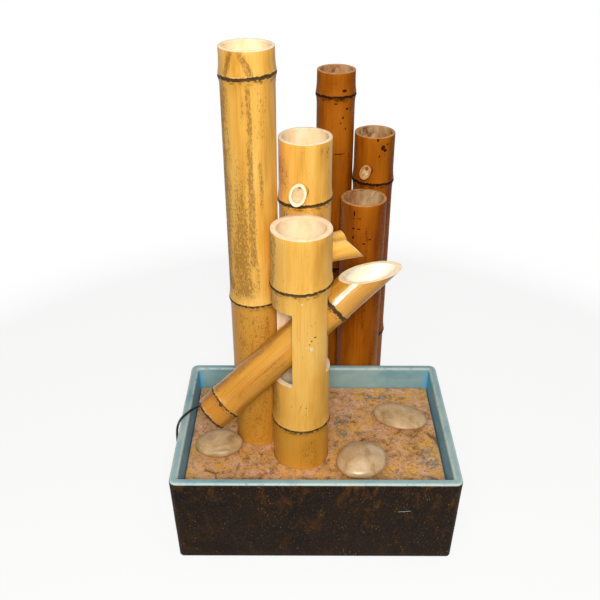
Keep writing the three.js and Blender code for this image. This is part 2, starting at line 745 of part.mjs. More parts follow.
function riserPath() {
  const path = new THREE.CurvePath();
  const corner = new THREE.Vector3(hoseX, hoseY, hoseZ);
  const top = new THREE.Vector3(hoseX, hoseY, riserTop);
  const end = new THREE.Vector3(
    feedPost.place.x + hoseForward.x * hoseEnd, feedPost.place.y + hoseForward.y * hoseEnd, riserTop);
  const bendStart = corner.clone().setX(hoseX + hoseBend);
  const bendEnd = corner.clone().setZ(hoseZ + hoseBend);
  const topStart = top.clone().setZ(riserTop - hoseBend);
  const topEnd = top.clone().lerp(end, hoseBend / top.distanceTo(end));
  path.add(new THREE.LineCurve3(hoseEntry, bendStart));
  path.add(new THREE.QuadraticBezierCurve3(bendStart, corner, bendEnd));
  path.add(new THREE.LineCurve3(bendEnd, topStart));
  path.add(new THREE.QuadraticBezierCurve3(topStart, top, topEnd));
  path.add(new THREE.LineCurve3(topEnd, end));
  return path;
}

function ringShape(outer, inner) {
  const shape = new THREE.Shape().absarc(0, 0, outer, 0, 2 * Math.PI);
  shape.holes.push(new THREE.Path().absarc(0, 0, inner, 0, 2 * Math.PI));
  return shape;
}

function alongRiser(section) {
  return new THREE.ExtrudeGeometry(section, {
    steps: hoseSteps, curveSegments: hoseSides / 2, extrudePath: riserPath(), bevelEnabled: false,
  });
}
addPiece('riser_hose', carve([alongRiser(ringShape(hoseRadius, hoseBore))]), 'hose');

// Feed post: the hose comes in through a notch in its foot and rises through its drilled nodes
const notchTop = hoseZ + hoseNotchRise;
const notchWidth = 2 * (hoseRadius + holeGap * 2);
const notchOutline = roundedRectangle(2 * feedPostRadius, notchWidth, holeGap);
const notch = plate(notchOutline, insideFoot - overrun, notchTop - insideFoot + overrun)
  .translate(feedPostRadius, hoseY - feedPost.place.y, 0);
const hoseWay = alongRiser(new THREE.Shape().absarc(0, 0, hoseRadius + 2 * holeGap, 0, 2 * Math.PI))
  .translate(-feedPost.place.x, -feedPost.place.y, 0);
addCulm('feed_post', feedPost, 'lightBamboo', insideFoot,
  [notch, hoseWay, spoutHole(feedSpout), spoutHole(sideSpout)]);
addSpout('feed_spout', feedSpout, feedPost, hoseRadius + seatGap, 'lightBamboo');
addSpout('side_spout', sideSpout, feedPost, sideSpout.radius / 2, 'lightBamboo');

// Dark posts, tied into one group by hidden dowels
const darkPosts = { cup: darkCupPost, tall: darkTallPost, feed: darkFeedPost };
const dowelPairs = [['cup', 'tall'], ['cup', 'feed'], ['tall', 'feed']];

// A dowel between two posts at one level, or the hole for it
function dowelBetween(a, b, level, extraRadius) {
  const [from, to] = [a.place, b.place];
  const length = from.distanceTo(to);
  const start = a.radius - a.wall - dowelReach;
  const end = length - (b.radius - b.wall - dowelReach);
  const angle = Math.atan2(to.y - from.y, to.x - from.x);
  return barAlongX(dowelRadius + extraRadius, start, end, dowelSides)
    .rotateZ(angle).translate(from.x, from.y, level);
}

function dowelHoles(post) {
  const cuts = [];
  for (const pair of dowelPairs) {
    const [a, b] = pair.map((key) => darkPosts[key]);
    if (post !== a && post !== b) continue;
    for (const level of dowelLevels) {
      cuts.push(dowelBetween(a, b, level, seatGap).translate(-post.place.x, -post.place.y, 0));
    }
  }
  return cuts;
}

for (const pair of dowelPairs) {
  const [a, b] = pair.map((key) => darkPosts[key]);
  dowelLevels.forEach((level, number) => {
    const levelName = number === 0 ? 'low' : 'high';
    addPiece(`dowel_${pair.join('_')}_${levelName}`, carve([dowelBetween(a, b, level, 0)]), 'cutWood');
  });
}
addCulm('dark_cup_post', darkCupPost, 'darkBamboo', darkCupNodes.at(-1) + overrun,
  dowelHoles(darkCupPost));
addCulm('dark_tall_post', darkTallPost, 'darkBamboo', darkTallNodes.at(-1) + overrun,
  dowelHoles(darkTallPost));
addCulm('dark_feed_post', darkFeedPost, 'darkBamboo', darkFeedNodes.at(-1) + overrun,
  [...dowelHoles(darkFeedPost), spoutHole(darkSpout)]);
addSpout('dark_spout', darkSpout, darkFeedPost, darkSpout.radius / 2, 'darkBamboo');

// Grommet in the slab, with a lip on each face
const leadRadius = leadDiameter / 2;
function grommetGeometry() {
  const bore = leadRadius + seatGap;
  const neck = grommetHole - seatGap;
  const lipTop = slabTop + grommetLip;
  const lipBottom = slabBottom - grommetLip;
  return carve([turned([
    [bore, lipBottom], [grommetRadius, lipBottom], [grommetRadius, slabBottom - seatGap],
    [neck, slabBottom - seatGap], [neck, slabTop + seatGap], [grommetRadius, slabTop + seatGap],
    [grommetRadius, lipTop], [bore, lipTop], [bore, lipBottom],
  ], smallSides)]);
}
addPiece('slab_grommet', grommetGeometry(), 'rubber', [leadX, leadY, 0]);

// Cable inside the basin, from the pump's gland up through the grommet
const glandY = pumpY + pumpDepth / 2 - glandRadius - pumpCorner;
const glandZ = pumpBottom + glandRadius + pumpCorner;
addPiece('pump_cable_gland', carve([
  turned([
    [leadRadius + seatGap, seatGap], [glandRadius, seatGap], [glandRadius, glandLength / 3],
    [leadRadius + glandNoseWall, glandLength], [leadRadius + seatGap, glandLength],
    [leadRadius + seatGap, seatGap],
  ], smallSides).rotateY(-Math.PI / 2),
]), 'rubber', [nozzleX, glandY, glandZ]);

const floorLie = basinFloor + leadRadius + seatGap;
const cableFloorX = nozzleX - 52;
const cableRunShares = [0.73, 0.5, 0.3, 0.16, 0.07, 0.023, 0.003];
const cableRun = cableRunShares.map((share) => leadX + share * (cableFloorX - leadX));
const innerRoute = [
  [nozzleX - seatGap, glandY, glandZ], [nozzleX - glandLength / 2, glandY, glandZ],
  [nozzleX - glandLength - leadDiameter, glandY, glandZ],
  [nozzleX - 24, glandY + 1, (glandZ + floorLie) / 2 + 1], [nozzleX - 38, glandY + 2, floorLie + 1],
  [cableFloorX, glandY + 3, floorLie], [cableRun[0], glandY + 4, floorLie],
  [cableRun[1], glandY + 2, floorLie], [cableRun[2], glandY - 1, floorLie],
  [cableRun[3], glandY - 12, floorLie], [cableRun[4], glandY - 28, floorLie + 0.4],
  [cableRun[5], leadY + 10, floorLie + 5], [cableRun[6], leadY + 1.6, floorLie + 16],
  [leadX, leadY, floorLie + 30], [leadX, leadY, slabBottom - 20], [leadX, leadY, slabTop + grommetLip],
];

// A plain tube along points, for a lead that is not wound
function leadCurve(points) {
  return new THREE.CatmullRomCurve3(points.map((point) => new THREE.Vector3(...point)), false, 'centripetal');
}

function leadTube(points, steps) {
  const section = new THREE.Shape().absarc(0, 0, leadRadius, 0, 2 * Math.PI);
  return carve([new THREE.ExtrudeGeometry(section, {
    steps, curveSegments: leadSides / 2, extrudePath: leadCurve(points), bevelEnabled: false,
  })]);
}
addPiece('pump_cable', leadTube(innerRoute, innerLeadSteps), 'rubber');
addPiece('power_lead', leadTube(leadRoute, leadSteps), 'rubber');

// The wound coil: in over the first layer, up in the half turn where it reverses, out over the second
const coilX = coilFromLeft - basinWidth / 2;
const coilLow = leadRoute.at(-1)[2];
const coilHigh = coilLow + coilPitch;
const coilTurns = 2 * coilTurnsEachWay + coilClimbTurns;
const coilBreadth = coilPitch * coilTurns / 2;
const coilOuter = coilMiddleDiameter / 2 + coilBreadth / 2;

function coilPoints() {
  const count = Math.round(coilTurns * coilSteps);
  const points = [];
  for (let i = 0; i <= count; i += 1) {
    const turn = i / coilSteps;
    const fromMiddle = Math.abs(turn - coilTurns / 2);
    const radius = coilOuter - coilPitch * (coilTurns / 2 - fromMiddle);
    const climb = THREE.MathUtils.clamp((turn - coilTurnsEachWay) / coilClimbTurns, 0, 1);
    const angle = 2 * Math.PI * (turn + coilStartTurn);
    points.push(new THREE.Vector3(
      coilX + radius * Math.cos(angle), coilY + radius * Math.sin(angle), coilLow + climb * coilPitch));
  }
  const leadIn = points[0].clone().setX(points[0].x - leadDiameter);
  const leadOut = points.at(-1).clone().setX(points.at(-1).x + leadDiameter);
  return [leadIn, ...points, leadOut];
}

// A tube with a fixed number of sides through every point, in one closed skin
function woundTube(points, radius, sides) {
  const positions = [];
  points.forEach((point, i) => {
    const before = points[Math.max(0, i - 1)];
    const after = points[Math.min(points.length - 1, i + 1)];
    const ahead = after.clone().sub(before).normalize();
    const aside = new THREE.Vector3().crossVectors(ahead, new THREE.Vector3(0, 0, 1)).normalize();
    const up = new THREE.Vector3().crossVectors(aside, ahead);
    for (let side = 0; side < sides; side += 1) {
      const angle = 2 * Math.PI * (side + 0.5) / sides;
      positions.push(...point.clone()
        .addScaledVector(aside, radius * Math.cos(angle))
        .addScaledVector(up, radius * Math.sin(angle)).toArray());
    }
  });
  const faces = [];
  for (let ring = 0; ring < points.length - 1; ring += 1) {
    for (let side = 0; side < sides; side += 1) {
      const [a, b] = [ring * sides + side, ring * sides + (side + 1) % sides];
      faces.push(a, b, b + sides, a, b + sides, a + sides);
    }
  }
  const last = (points.length - 1) * sides;
  for (let side = 1; side < sides - 1; side += 1) {
    faces.push(0, side + 1, side, last, last + side, last + side + 1);
  }
  const geometry = new THREE.BufferGeometry();
  geometry.setAttribute('position', new THREE.Float32BufferAttribute(positions, 3));
  geometry.setIndex(faces);
  return carve([geometry]);
}

// The least gap between turns, over points more than half a turn apart along the lead
function leastSelfGap(points, diameter, apart) {
  let least = Infinity;
  for (let i = 0; i < points.length; i += 1) {
    for (let j = i + apart; j < points.length; j += 1) {
      least = Math.min(least, points[i].distanceTo(points[j]));
    }
  }
  return least - diameter;
}

const wound = coilPoints();
const woundLength = wound.slice(1).reduce((sum, point, i) => sum + point.distanceTo(wound[i]), 0);
console.log('coil least gap', leastSelfGap(wound, leadDiameter, coilSteps / 2).toFixed(2),
  'coil start', wound[0].toArray().map((value) => value.toFixed(2)).join(','),
  'coil end', wound.at(-1).toArray().map((value) => value.toFixed(2)).join(','),
  'lead length', (leadCurve(leadRoute).getLength() + woundLength).toFixed(0));
addPiece('lead_coil', woundTube(wound, leadRadius, coilTubeSides), 'rubber');

// A flat tie round both layers of the coil, on its far side from the plug
function tieGeometry() {
  const stack = coilBreadth + leadDiameter + 2 * tieGap + coilPitch / 2;
  const rise = coilPitch + leadDiameter + 2 * tieGap;
  const outline = roundedRectangle(stack + 2 * tieThickness, rise + 2 * tieThickness, 2 * tieThickness);
  outline.holes.push(roundedRectangle(stack, rise, tieThickness, THREE.Path));
  return carve([plate(outline, -tieWidth / 2, tieWidth).rotateX(Math.PI / 2)]);
}
addPiece('coil_tie', tieGeometry(), 'rubber',
  [coilX - coilMiddleDiameter / 2, coilY, (coilLow + coilHigh) / 2]);

// The short end of the lead, from the coil down to the plug
const leadEndRoute = fromBasinLeft([
  [68.95, 168.25, 7.1], [76, 168.1, 6.95], [83, 167.6, 6.6], [90, 167, 6.25], [96, 166.8, 6.1],
]);
addPiece('lead_end', leadTube(leadEndRoute, leadEndSteps), 'rubber');

// Plug: a ribbed taper and a round grip, with a metal barrel in front
const plugStart = new THREE.Vector3(...leadEndRoute.at(-1)).setX(leadEndRoute.at(-1)[0] + seatGap);
function plugGeometry() {
  const ribs = [];
  const pitch = plugTaperLength / plugRibs;
  for (let i = 0; i < plugRibs; i += 1) {
    ribs.push(
      [plugTaperRadius, i * pitch], [plugTaperRadius, (i + plugRibShare) * pitch],
      [leadRadius + seatGap, (i + plugRibShare) * pitch], [leadRadius + seatGap, (i + 1) * pitch],
    );
  }
  return carve([turned([
    [0, 0], ...ribs, [plugRadius * plugShoulderShare, plugTaperLength],
    [plugRadius, plugTaperLength + plugRadius / 4],
    [plugRadius, plugTaperLength + plugLength], [0, plugTaperLength + plugLength],
  ], smallSides).rotateY(Math.PI / 2)]);
}
addPiece('plug_grip', plugGeometry(), 'rubber', plugStart.toArray());
const barrelX = plugStart.x + plugTaperLength + plugLength + seatGap;
const barrel = carve(
  [barAlongX(barrelRadius, 0, barrelLength)],
  [barAlongX(barrelBore, barrelLength / 5, barrelLength + overrun)],
);
addPiece('plug_barrel', barrel, 'steel', [barrelX, plugStart.y, plugStart.z]);

export default object;
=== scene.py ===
"""Looks of the shishi odoshi: bamboo culms and rocker, glazed basin, stones and lead, in metres."""
import logging
import math
from dataclasses import dataclass, field
from enum import Enum, IntEnum
from typing import Callable, Sequence

import bmesh
import bpy
from mathutils import Matrix, Vector, noise


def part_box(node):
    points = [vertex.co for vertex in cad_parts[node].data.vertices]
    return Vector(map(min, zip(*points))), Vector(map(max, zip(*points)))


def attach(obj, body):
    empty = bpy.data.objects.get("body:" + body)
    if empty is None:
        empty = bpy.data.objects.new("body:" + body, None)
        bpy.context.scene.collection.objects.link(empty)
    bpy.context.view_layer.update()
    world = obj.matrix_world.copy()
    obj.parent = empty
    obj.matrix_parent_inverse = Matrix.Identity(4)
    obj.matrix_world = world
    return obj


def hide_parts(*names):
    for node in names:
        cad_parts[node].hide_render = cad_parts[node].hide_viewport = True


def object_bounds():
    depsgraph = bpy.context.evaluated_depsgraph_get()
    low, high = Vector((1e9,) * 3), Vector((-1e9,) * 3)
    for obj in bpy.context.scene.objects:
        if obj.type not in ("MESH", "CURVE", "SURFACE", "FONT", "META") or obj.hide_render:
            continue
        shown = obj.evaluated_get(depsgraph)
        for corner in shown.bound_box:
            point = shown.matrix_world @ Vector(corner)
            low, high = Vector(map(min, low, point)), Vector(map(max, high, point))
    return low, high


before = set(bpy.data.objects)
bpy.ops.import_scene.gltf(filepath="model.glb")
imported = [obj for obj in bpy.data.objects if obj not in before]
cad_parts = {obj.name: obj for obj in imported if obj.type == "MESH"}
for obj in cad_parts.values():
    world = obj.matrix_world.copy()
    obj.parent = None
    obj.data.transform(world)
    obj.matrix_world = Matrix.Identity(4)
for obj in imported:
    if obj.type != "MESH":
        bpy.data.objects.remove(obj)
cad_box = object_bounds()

log = logging.getLogger("shishi_odoshi")

Colour = tuple[float, float, float]
Point = tuple[float, float, float]
Profile = list[tuple[float, float, int]]
Socket = bpy.types.NodeSocket
Value = float | int | Sequence[float] | Socket
Material = bpy.types.Material
Piece = bpy.types.Object

# Places and sizes that more than one sub-assembly follows
HEADING = 20.0
PIVOT = (-0.02, -0.031, 0.318)
PIN_BORE = 0.00335
POST_FOOT = 0.01235
SLAB_TOP = 0.111
SLAB_BOTTOM = 0.097
LEAD_EXIT = (-0.158, 0.044, 0.11385)
FIT = 0.00035
FLOOR_GAP = 0.0002

# How finely all pieces are made
EDGE = 0.0008
SHARP_ANGLE = 35.0
CULM_SIDES = 96
TUBE_SIDES = 72


class Surface(IntEnum):
    """The faces of a piece of bamboo, in the order of its material slots."""

    SKIN = 0
    INSIDE = 1
    CUT = 2


class Sum(Enum):
    """What a math node makes of its numbers."""

    PLUS = "ADD"
    LESS = "SUBTRACT"
    TIMES = "MULTIPLY"
    RATIO = "DIVIDE"
    LARGEST = "MAXIMUM"
    SIZE = "ABSOLUTE"
    AZIMUTH = "ARCTAN2"


class Axis(Enum):
    """The axis of a turn."""

    X = "X"
    Y = "Y"
    Z = "Z"


def linear(colour: Colour) -> tuple[float, float, float, float]:
    """Turns a colour of 0 to 255, as a screen shows it, into linear light."""
    channels = []
    for channel in colour:
        share = channel / 255
        channels.append(share / 12.92 if share <= 0.04045 else ((share + 0.055) / 1.055) ** 2.4)
    return (*channels, 1.0)


def grey(level: float) -> tuple[float, float, float, float]:
    """A grey of linear light."""
    return (level, level, level, 1.0)


def clamp(value: float) -> float:
    """Keeps a number between 0 and 1."""
    return min(1.0, max(0.0, value))


class Graph:
    """A material's node tree, with one short call for each kind of node."""

    def __init__(self, name: str) -> None:
        """Starts an empty material with a shader and its output."""
        self.material = bpy.data.materials.new(name)
        self.material.use_nodes = True
        self.tree = self.material.node_tree
        self.tree.nodes.clear()
        self.shader = self.tree.nodes.new("ShaderNodeBsdfPrincipled")
        self.output = self.tree.nodes.new("ShaderNodeOutputMaterial")
        self.tree.links.new(self.shader.outputs[0], self.output.inputs[0])

    def feed(self, socket: Socket, value: Value) -> None:
        """Links a socket to another's output, or sets its number."""
        if isinstance(value, Socket):
            self.tree.links.new(value, socket)
        else:
            socket.default_value = value

    def add(self, kind: str, inputs: dict[int | str, Value], **settings: object) -> bpy.types.Node:
        """Adds a node."""
        node = self.tree.nodes.new(kind)
        for name, setting in settings.items():
            setattr(node, name, setting)
        for name, value in inputs.items():
            self.feed(node.inputs[name], value)
        return node

    def place(self, stretch: Point | float = 1.0) -> Socket:
        """The piece's own coordinates, stretched."""
        coordinates = self.add("ShaderNodeTexCoord", {}).outputs["Object"]
        if stretch == 1.0:
            return coordinates
        factors = stretch if isinstance(stretch, tuple) else (stretch,) * 3
        inputs = {0: coordinates, 1: factors}
        return self.add("ShaderNodeVectorMath", inputs, operation="MULTIPLY").outputs[0]

    def height(self) -> Socket:
        """The height along the piece's own Z axis."""
        return self.add("ShaderNodeSeparateXYZ", {0: self.place()}).outputs[2]

    def turn_from(self, azimuth: Value) -> Socket:
        """The turn round the piece's own Z axis from an azimuth, in radians."""
        place = self.add("ShaderNodeSeparateXYZ", {0: self.place()}).outputs
        turn = self.less(self.math(Sum.AZIMUTH, place[1], place[0]), azimuth)
        inputs = {0: turn, 1: math.pi, 2: -math.pi}
        return self.add("ShaderNodeMath", inputs, operation="WRAP").outputs[0]

    def along(self, direction: Point) -> Socket:
        """The distance along a direction, as the dot product with the place."""
        inputs = {0: self.place(), 1: direction}
        return self.add("ShaderNodeVectorMath", inputs, operation="DOT_PRODUCT").outputs["Value"]

    def noise(self, stretch: Point | float, detail: float = 2.0, rough: float = 0.5,
              warp: float = 0.0, seed: float = 0.0) -> Socket:
        """Cloudy noise between 0 and 1."""
        where = self.place(stretch)
        if seed:
            where = self.add("ShaderNodeVectorMath", {0: where, 1: (seed, seed, seed)}).outputs[0]
        return self.add("ShaderNodeTexNoise", {
            "Vector": where, "Scale": 1.0, "Detail": detail, "Roughness": rough, "Distortion": warp,
        }).outputs[0]

    def cells(self, stretch: Point | float) -> Socket:
        """The distance to the middle of the nearest cell."""
        inputs = {"Vector": self.place(stretch), "Scale": 1.0}
        return self.add("ShaderNodeTexVoronoi", inputs).outputs["Distance"]

    def math(self, operation: Sum, a: Value, b: Value = 0.0) -> Socket:
        """One sum on two numbers."""
        return self.add("ShaderNodeMath", {0: a, 1: b}, operation=operation.value).outputs[0]

    def fold(self, operation: Sum, values: Sequence[Value]) -> Value:
        """One kind of sum on several numbers, from the first to the last."""
        result = values[0]
        for value in values[1:]:
            result = self.math(operation, result, value)
        return result

    def plus(self, *values: Value) -> Value:
        """The sum of some numbers."""
        return self.fold(Sum.PLUS, values)

    def less(self, *values: Value) -> Value:
        """A number less some others."""
        return self.fold(Sum.LESS, values)

    def times(self, *values: Value) -> Value:
        """The product of some numbers or masks."""
        return self.fold(Sum.TIMES, values)

    def either(self, *masks: Value) -> Value:
        """The largest of some masks, or 0 of none."""
        return self.fold(Sum.LARGEST, (0.0, *masks))

    def size(self, value: Value) -> Socket:
        """A number without its sign."""
        return self.math(Sum.SIZE, value)

    def step(self, value: Value, low: float, high: float) -> Socket:
        """Rises smoothly from 0 to 1, or falls where the first bound is the larger."""
        rises = low < high
        return self.add("ShaderNodeMapRange", {
            "Value": value, "From Min": min(low, high), "From Max": max(low, high),
            "To Min": 0.0 if rises else 1.0, "To Max": 1.0 if rises else 0.0,
        }, interpolation_type="SMOOTHSTEP").outputs[0]

    def mix(self, factor: Value, a: Value, b: Value) -> Socket:
        """Lays colour b on colour a by a factor."""
        return self.add("ShaderNodeMix", {0: factor, 6: a, 7: b}, data_type="RGBA").outputs[2]

    def tint(self, colour: Value, over: Colour, mask: Value, share: float = 1.0) -> Socket:
        """Lays another colour on a colour where a mask lets it."""
        factor = mask if share == 1.0 else self.times(mask, share)
        return self.mix(factor, colour, linear(over))

    def ramp(self, factor: Value, stops: Sequence[tuple[float, Colour]]) -> Socket:
        """Colours along a factor."""
        node = self.add("ShaderNodeValToRGB", {0: factor})
        elements = node.color_ramp.elements
        while len(elements) < len(stops):
            elements.new(1.0)
        for element, (place, colour) in zip(elements, stops):
            element.position = place
            element.color = linear(colour)
        return node.outputs[0]

    def attribute(self, name: str) -> Socket:
        """A number stored on the mesh's points."""
        return self.add("ShaderNodeAttribute", {}, attribute_name=name).outputs["Fac"]

    def bump(self, height: Value, distance: float, strength: float = 1.0) -> None:
        """Raises the surface by a height times a distance, in metres."""
        inputs = {"Height": height, "Distance": distance, "Strength": strength}
        self.feed(self.shader.inputs["Normal"], self.add("ShaderNodeBump", inputs).outputs[0])

    def finish(self, colour: Value, roughness: Value, **sockets: Value) -> Material:
        """Sets the shader's colour, roughness and further sockets."""
        self.feed(self.shader.inputs["Base Color"], colour)
        self.feed(self.shader.inputs["Roughness"], roughness)
        for name, value in sockets.items():
            self.feed(self.shader.inputs[name.replace("_", " ")], value)
        return self.material


@dataclass(frozen=True)
class StainOrShade:
    """A band of fine brown speckles that runs along a culm: most are brown stains, some are painted
    shade along a culm's darker side.

    Attributes:
        azimuth: Where its lower end lies round the culm, in degrees.
        spread: How far it reaches to each side, in degrees.
        low: Where it starts, in metres along the culm.
        high: Where it ends.
        strength: How much of the skin it covers.
        flare: How much wider its lower end is, as a share of its spread.
        lean: How far further round its upper end lies, in degrees.
        fade: Over what length its upper end thins out.
    """

    azimuth: float
    spread: float
    low: float
    high: float
    strength: float
    flare: float = 0.0
    lean: float = 0.0
    fade: float = 0.012


@dataclass(frozen=True)
class Mark:
    """A small dark scar or pale spot on a culm.

    Attributes:
        azimuth: Where it lies round the culm, in degrees.
        height: Where it lies along the culm.
        breadth: Half its size round the culm.
        length: Half its size along the culm.
        pale: Whether it is pale, not dark.
    """

    azimuth: float
    height: float
    breadth: float
    length: float
    pale: bool = False


@dataclass(frozen=True)
class Ring:
    """The scar round a culm at a node, or a painted shadow line round a culm's end.

    Attributes:
        height: Where it lies along the culm.
        tilt_x: How steeply it rises along the culm's X axis.
        tilt_y: The same along its Y axis.
        weight: How heavy its line is.
    """

    height: float
    tilt_x: float = 0.0
    tilt_y: float = 0.0
    weight: float = 1.0

    def level(self, graph: Graph) -> Socket:
        """The height along the culm, less the ring's rise at that place."""
        return graph.along((-self.tilt_x, -self.tilt_y, 1.0))


@dataclass(frozen=True)
class ScarSizes:
    """The measures of the marks at a culm's nodes, in metres.

    Attributes:
        line: Between which distances from its middle the dark line's edge fades.
        drop: How far its middle lies under the node.
        wander: How far it wanders up and down.
        nibble: How ragged its edge is.
        ridge: Between which distances the edge of the pale ridge fades.
        rise: How far the ridge lies over the node.
        smudge: Where the smudge under the node starts and is full.
        close: Where it ends and is still full.
        under: Over what height the skin turns deeper below the lowest node.
    """

    line: tuple[float, float] = (0.0023, 0.0013)
    drop: float = 0.0003
    wander: float = 0.003
    nibble: float = 0.0068
    ridge: tuple[float, float] = (0.0011, 0.0004)
    rise: float = 0.0024
    smudge: tuple[float, float] = (-0.010, -0.004)
    close: tuple[float, float] = (0.002, -0.001)
    under: float = 0.001


@dataclass(frozen=True)
class BambooSkin:
    """The outside of a culm: streaks, painted shade bands, mottling, specks, and the dark scars at
    its nodes, with a painted shadow line at the rocker's tail.

    Attributes:
        name: The skin's name.
        pale: Its palest fibres.
        base: Its usual colour.
        deep: Its deepest patches.
        brown: Its stains and specks.
        scar: The lines at its nodes, and the painted shadow line round the rocker's tail.
        ridge: The worn ridge over a scar.
        mottle: How strongly it is mottled apart from its stains.
        specks: How dark its specks are.
        roughness: How dull it is.
        shine: How strongly it mirrors.
        coat: How glossy its polished stretch is.
        polished: Where that stretch, on the side of -X, starts and ends along the culm.
        polish_fade: Over what length it starts and ends.
        foot: How much deeper the culm is below its lowest node.
        seed: Moves its patterns.
        sizes: The measures of its scars.
    """

    name: str
    pale: Colour
    base: Colour
    deep: Colour
    brown: Colour
    scar: Colour
    ridge: Colour
    mottle: float = 0.35
    specks: float = 0.5
    roughness: float = 0.36
    shine: float = 0.16
    coat: float = 0.0
    polished: tuple[float, float] = (0.0, 1.0)
    polish_fade: float = 0.008
    foot: float = 0.0
    seed: float = 0.0
    sizes: ScarSizes = ScarSizes()

    def fibred(self, graph: Graph, fibres: Socket, rings: Sequence[Ring]) -> Socket:
        """The colour of the clean skin, deeper below the lowest node."""
        broad = graph.noise((30, 30, 5), 3, 0.6, 0.3, self.seed)
        colour = graph.ramp(broad, [(0.3, self.deep), (0.5, self.base), (0.72, self.pale)])
        colour = graph.tint(colour, self.pale, graph.step(fibres, 0.44, 0.72), 0.32)
        for ring in rings[:1]:
            under = graph.step(ring.level(graph), ring.height + self.sizes.under, ring.height)
            colour = graph.tint(colour, self.deep, under, self.foot)
        fine = graph.noise((900, 900, 12), seed=self.seed + 3)
        return graph.tint(colour, self.brown, graph.step(fine, 0.55, 0.7), 0.2)

    def scars(self, graph: Graph, rings: Sequence[Ring]) -> tuple[Value, Value, Value]:
        """Masks of the dark scar lines, one of them the painted shadow line round the rocker's tail,
        the pale ridge over them and the smudge below.

        Args:
            graph: The material's nodes.
            rings: The culm's nodes.

        Returns:
            The three masks.
        """
        sizes = self.sizes
        wander = graph.less(graph.noise((80, 80, 20), seed=self.seed), 0.5)
        nibble = graph.less(graph.noise(330, 3, 0.7, seed=self.seed), 0.5)
        wander, nibble = graph.times(wander, sizes.wander), graph.times(nibble, sizes.nibble)
        worn = graph.step(graph.noise((110, 110, 60), seed=self.seed + 2), 0.42, 0.6)
        patches = graph.step(graph.noise((150, 150, 240), 3, 0.65, seed=self.seed + 9), 0.47, 0.6)
        outer, inner = sizes.line
        dark, ridge, smudge = [], [], []
        for ring in rings:
            offset = graph.less(graph.plus(ring.level(graph), wander), ring.height)
            away = graph.plus(graph.size(graph.plus(offset, sizes.drop)), nibble)
            dark.append(graph.step(away, outer * ring.weight, inner * ring.weight))
            above = graph.size(graph.less(offset, sizes.rise))
            ridge.append(graph.times(graph.step(above, *sizes.ridge), worn))
            below = graph.times(graph.step(offset, *sizes.smudge), graph.step(offset, *sizes.close))
            smudge.append(graph.times(below, patches, min(1.0, ring.weight)))
        return graph.either(*dark), graph.either(*ridge), graph.either(*smudge)

    def stained_and_shaded(self, graph: Graph, stains_and_shade: Sequence[StainOrShade]) -> Value:
        """The mask of the brown streaks and of the painted shade bands.

        Args:
            graph: The material's nodes.
            stains_and_shade: The streaks and the painted shade bands.

        Returns:
            The mask.
        """
        wave = graph.less(graph.noise((60, 60, 16), 3, seed=self.seed), 0.5)
        height = graph.height()
        masks = []
        for stain_or_shade in stains_and_shade:
            spread, lean = math.radians(stain_or_shade.spread), math.radians(stain_or_shade.lean)
            ends = {"Value": height, "From Min": stain_or_shade.low, "From Max": stain_or_shade.high}
            share = graph.add("ShaderNodeMapRange", ends).outputs[0]
            azimuth = graph.plus(graph.times(share, lean), math.radians(stain_or_shade.azimuth))
            away = graph.plus(graph.turn_from(azimuth), graph.times(wave, spread * 1.8))
            flare = stain_or_shade.flare * spread
            width = graph.plus(graph.times(share, -flare), spread + flare)
            across = graph.step(graph.math(Sum.RATIO, graph.size(away), width), 1.35, 0.4)
            starts = graph.step(height, stain_or_shade.low, stain_or_shade.low + 0.02)
            stops = graph.step(height, stain_or_shade.high, stain_or_shade.high - stain_or_shade.fade)
            masks.append(graph.times(across, graph.times(starts, stops), stain_or_shade.strength))
        return graph.either(*masks)

    def marked(self, graph: Graph, marks: Sequence[Mark], radius: float) -> Value:
        """The mask of some small marks.

        Args:
            graph: The material's nodes.
            marks: The marks.
            radius: The culm's radius.

        Returns:
            The mask.
        """
        ragged = graph.times(graph.noise(480, 3, 0.7, seed=self.seed + 4), 1.2)
        masks = []
        for mark in marks:
            turn = graph.turn_from(math.radians(mark.azimuth))
            across = graph.times(turn, radius / mark.breadth)
            along = graph.math(Sum.RATIO, graph.less(graph.height(), mark.height), mark.length)
            squares = graph.plus(graph.times(across, across), graph.times(along, along))
            masks.append(graph.step(graph.plus(squares, ragged), 1.9, 1.1))
        return graph.either(*masks)

    def polish(self, graph: Graph, scars_and_shadow_line: Value, radius: float) -> Value:
        """How glossy the skin is, place by place."""
        height = graph.height()
        low, high = self.polished
        side = graph.step(graph.along((-1 / radius, 0.0, 0.0)), -0.3, 0.3)
        return graph.times(
            graph.step(height, low, low + self.polish_fade),
            graph.step(height, high, high - self.polish_fade),
            side, graph.less(1.0, scars_and_shadow_line), self.coat)

    def build(self, name: str, radius: float, rings: Sequence[Ring], stains_and_shade: Sequence[StainOrShade] = (),
              marks: Sequence[Mark] = ()) -> Material:
        """Makes the skin of one culm.

        Args:
            name: The culm's name.
            radius: Its radius.
            rings: Its nodes.
            stains_and_shade: Its brown streaks and painted shade bands.
            marks: Its small marks.

        Returns:
            The material.
        """
        graph = Graph(f"{name}_{self.name}")
        fibres = graph.noise((620, 620, 7), 3, 0.6, 0.0, self.seed)
        colour = self.fibred(graph, fibres, rings)
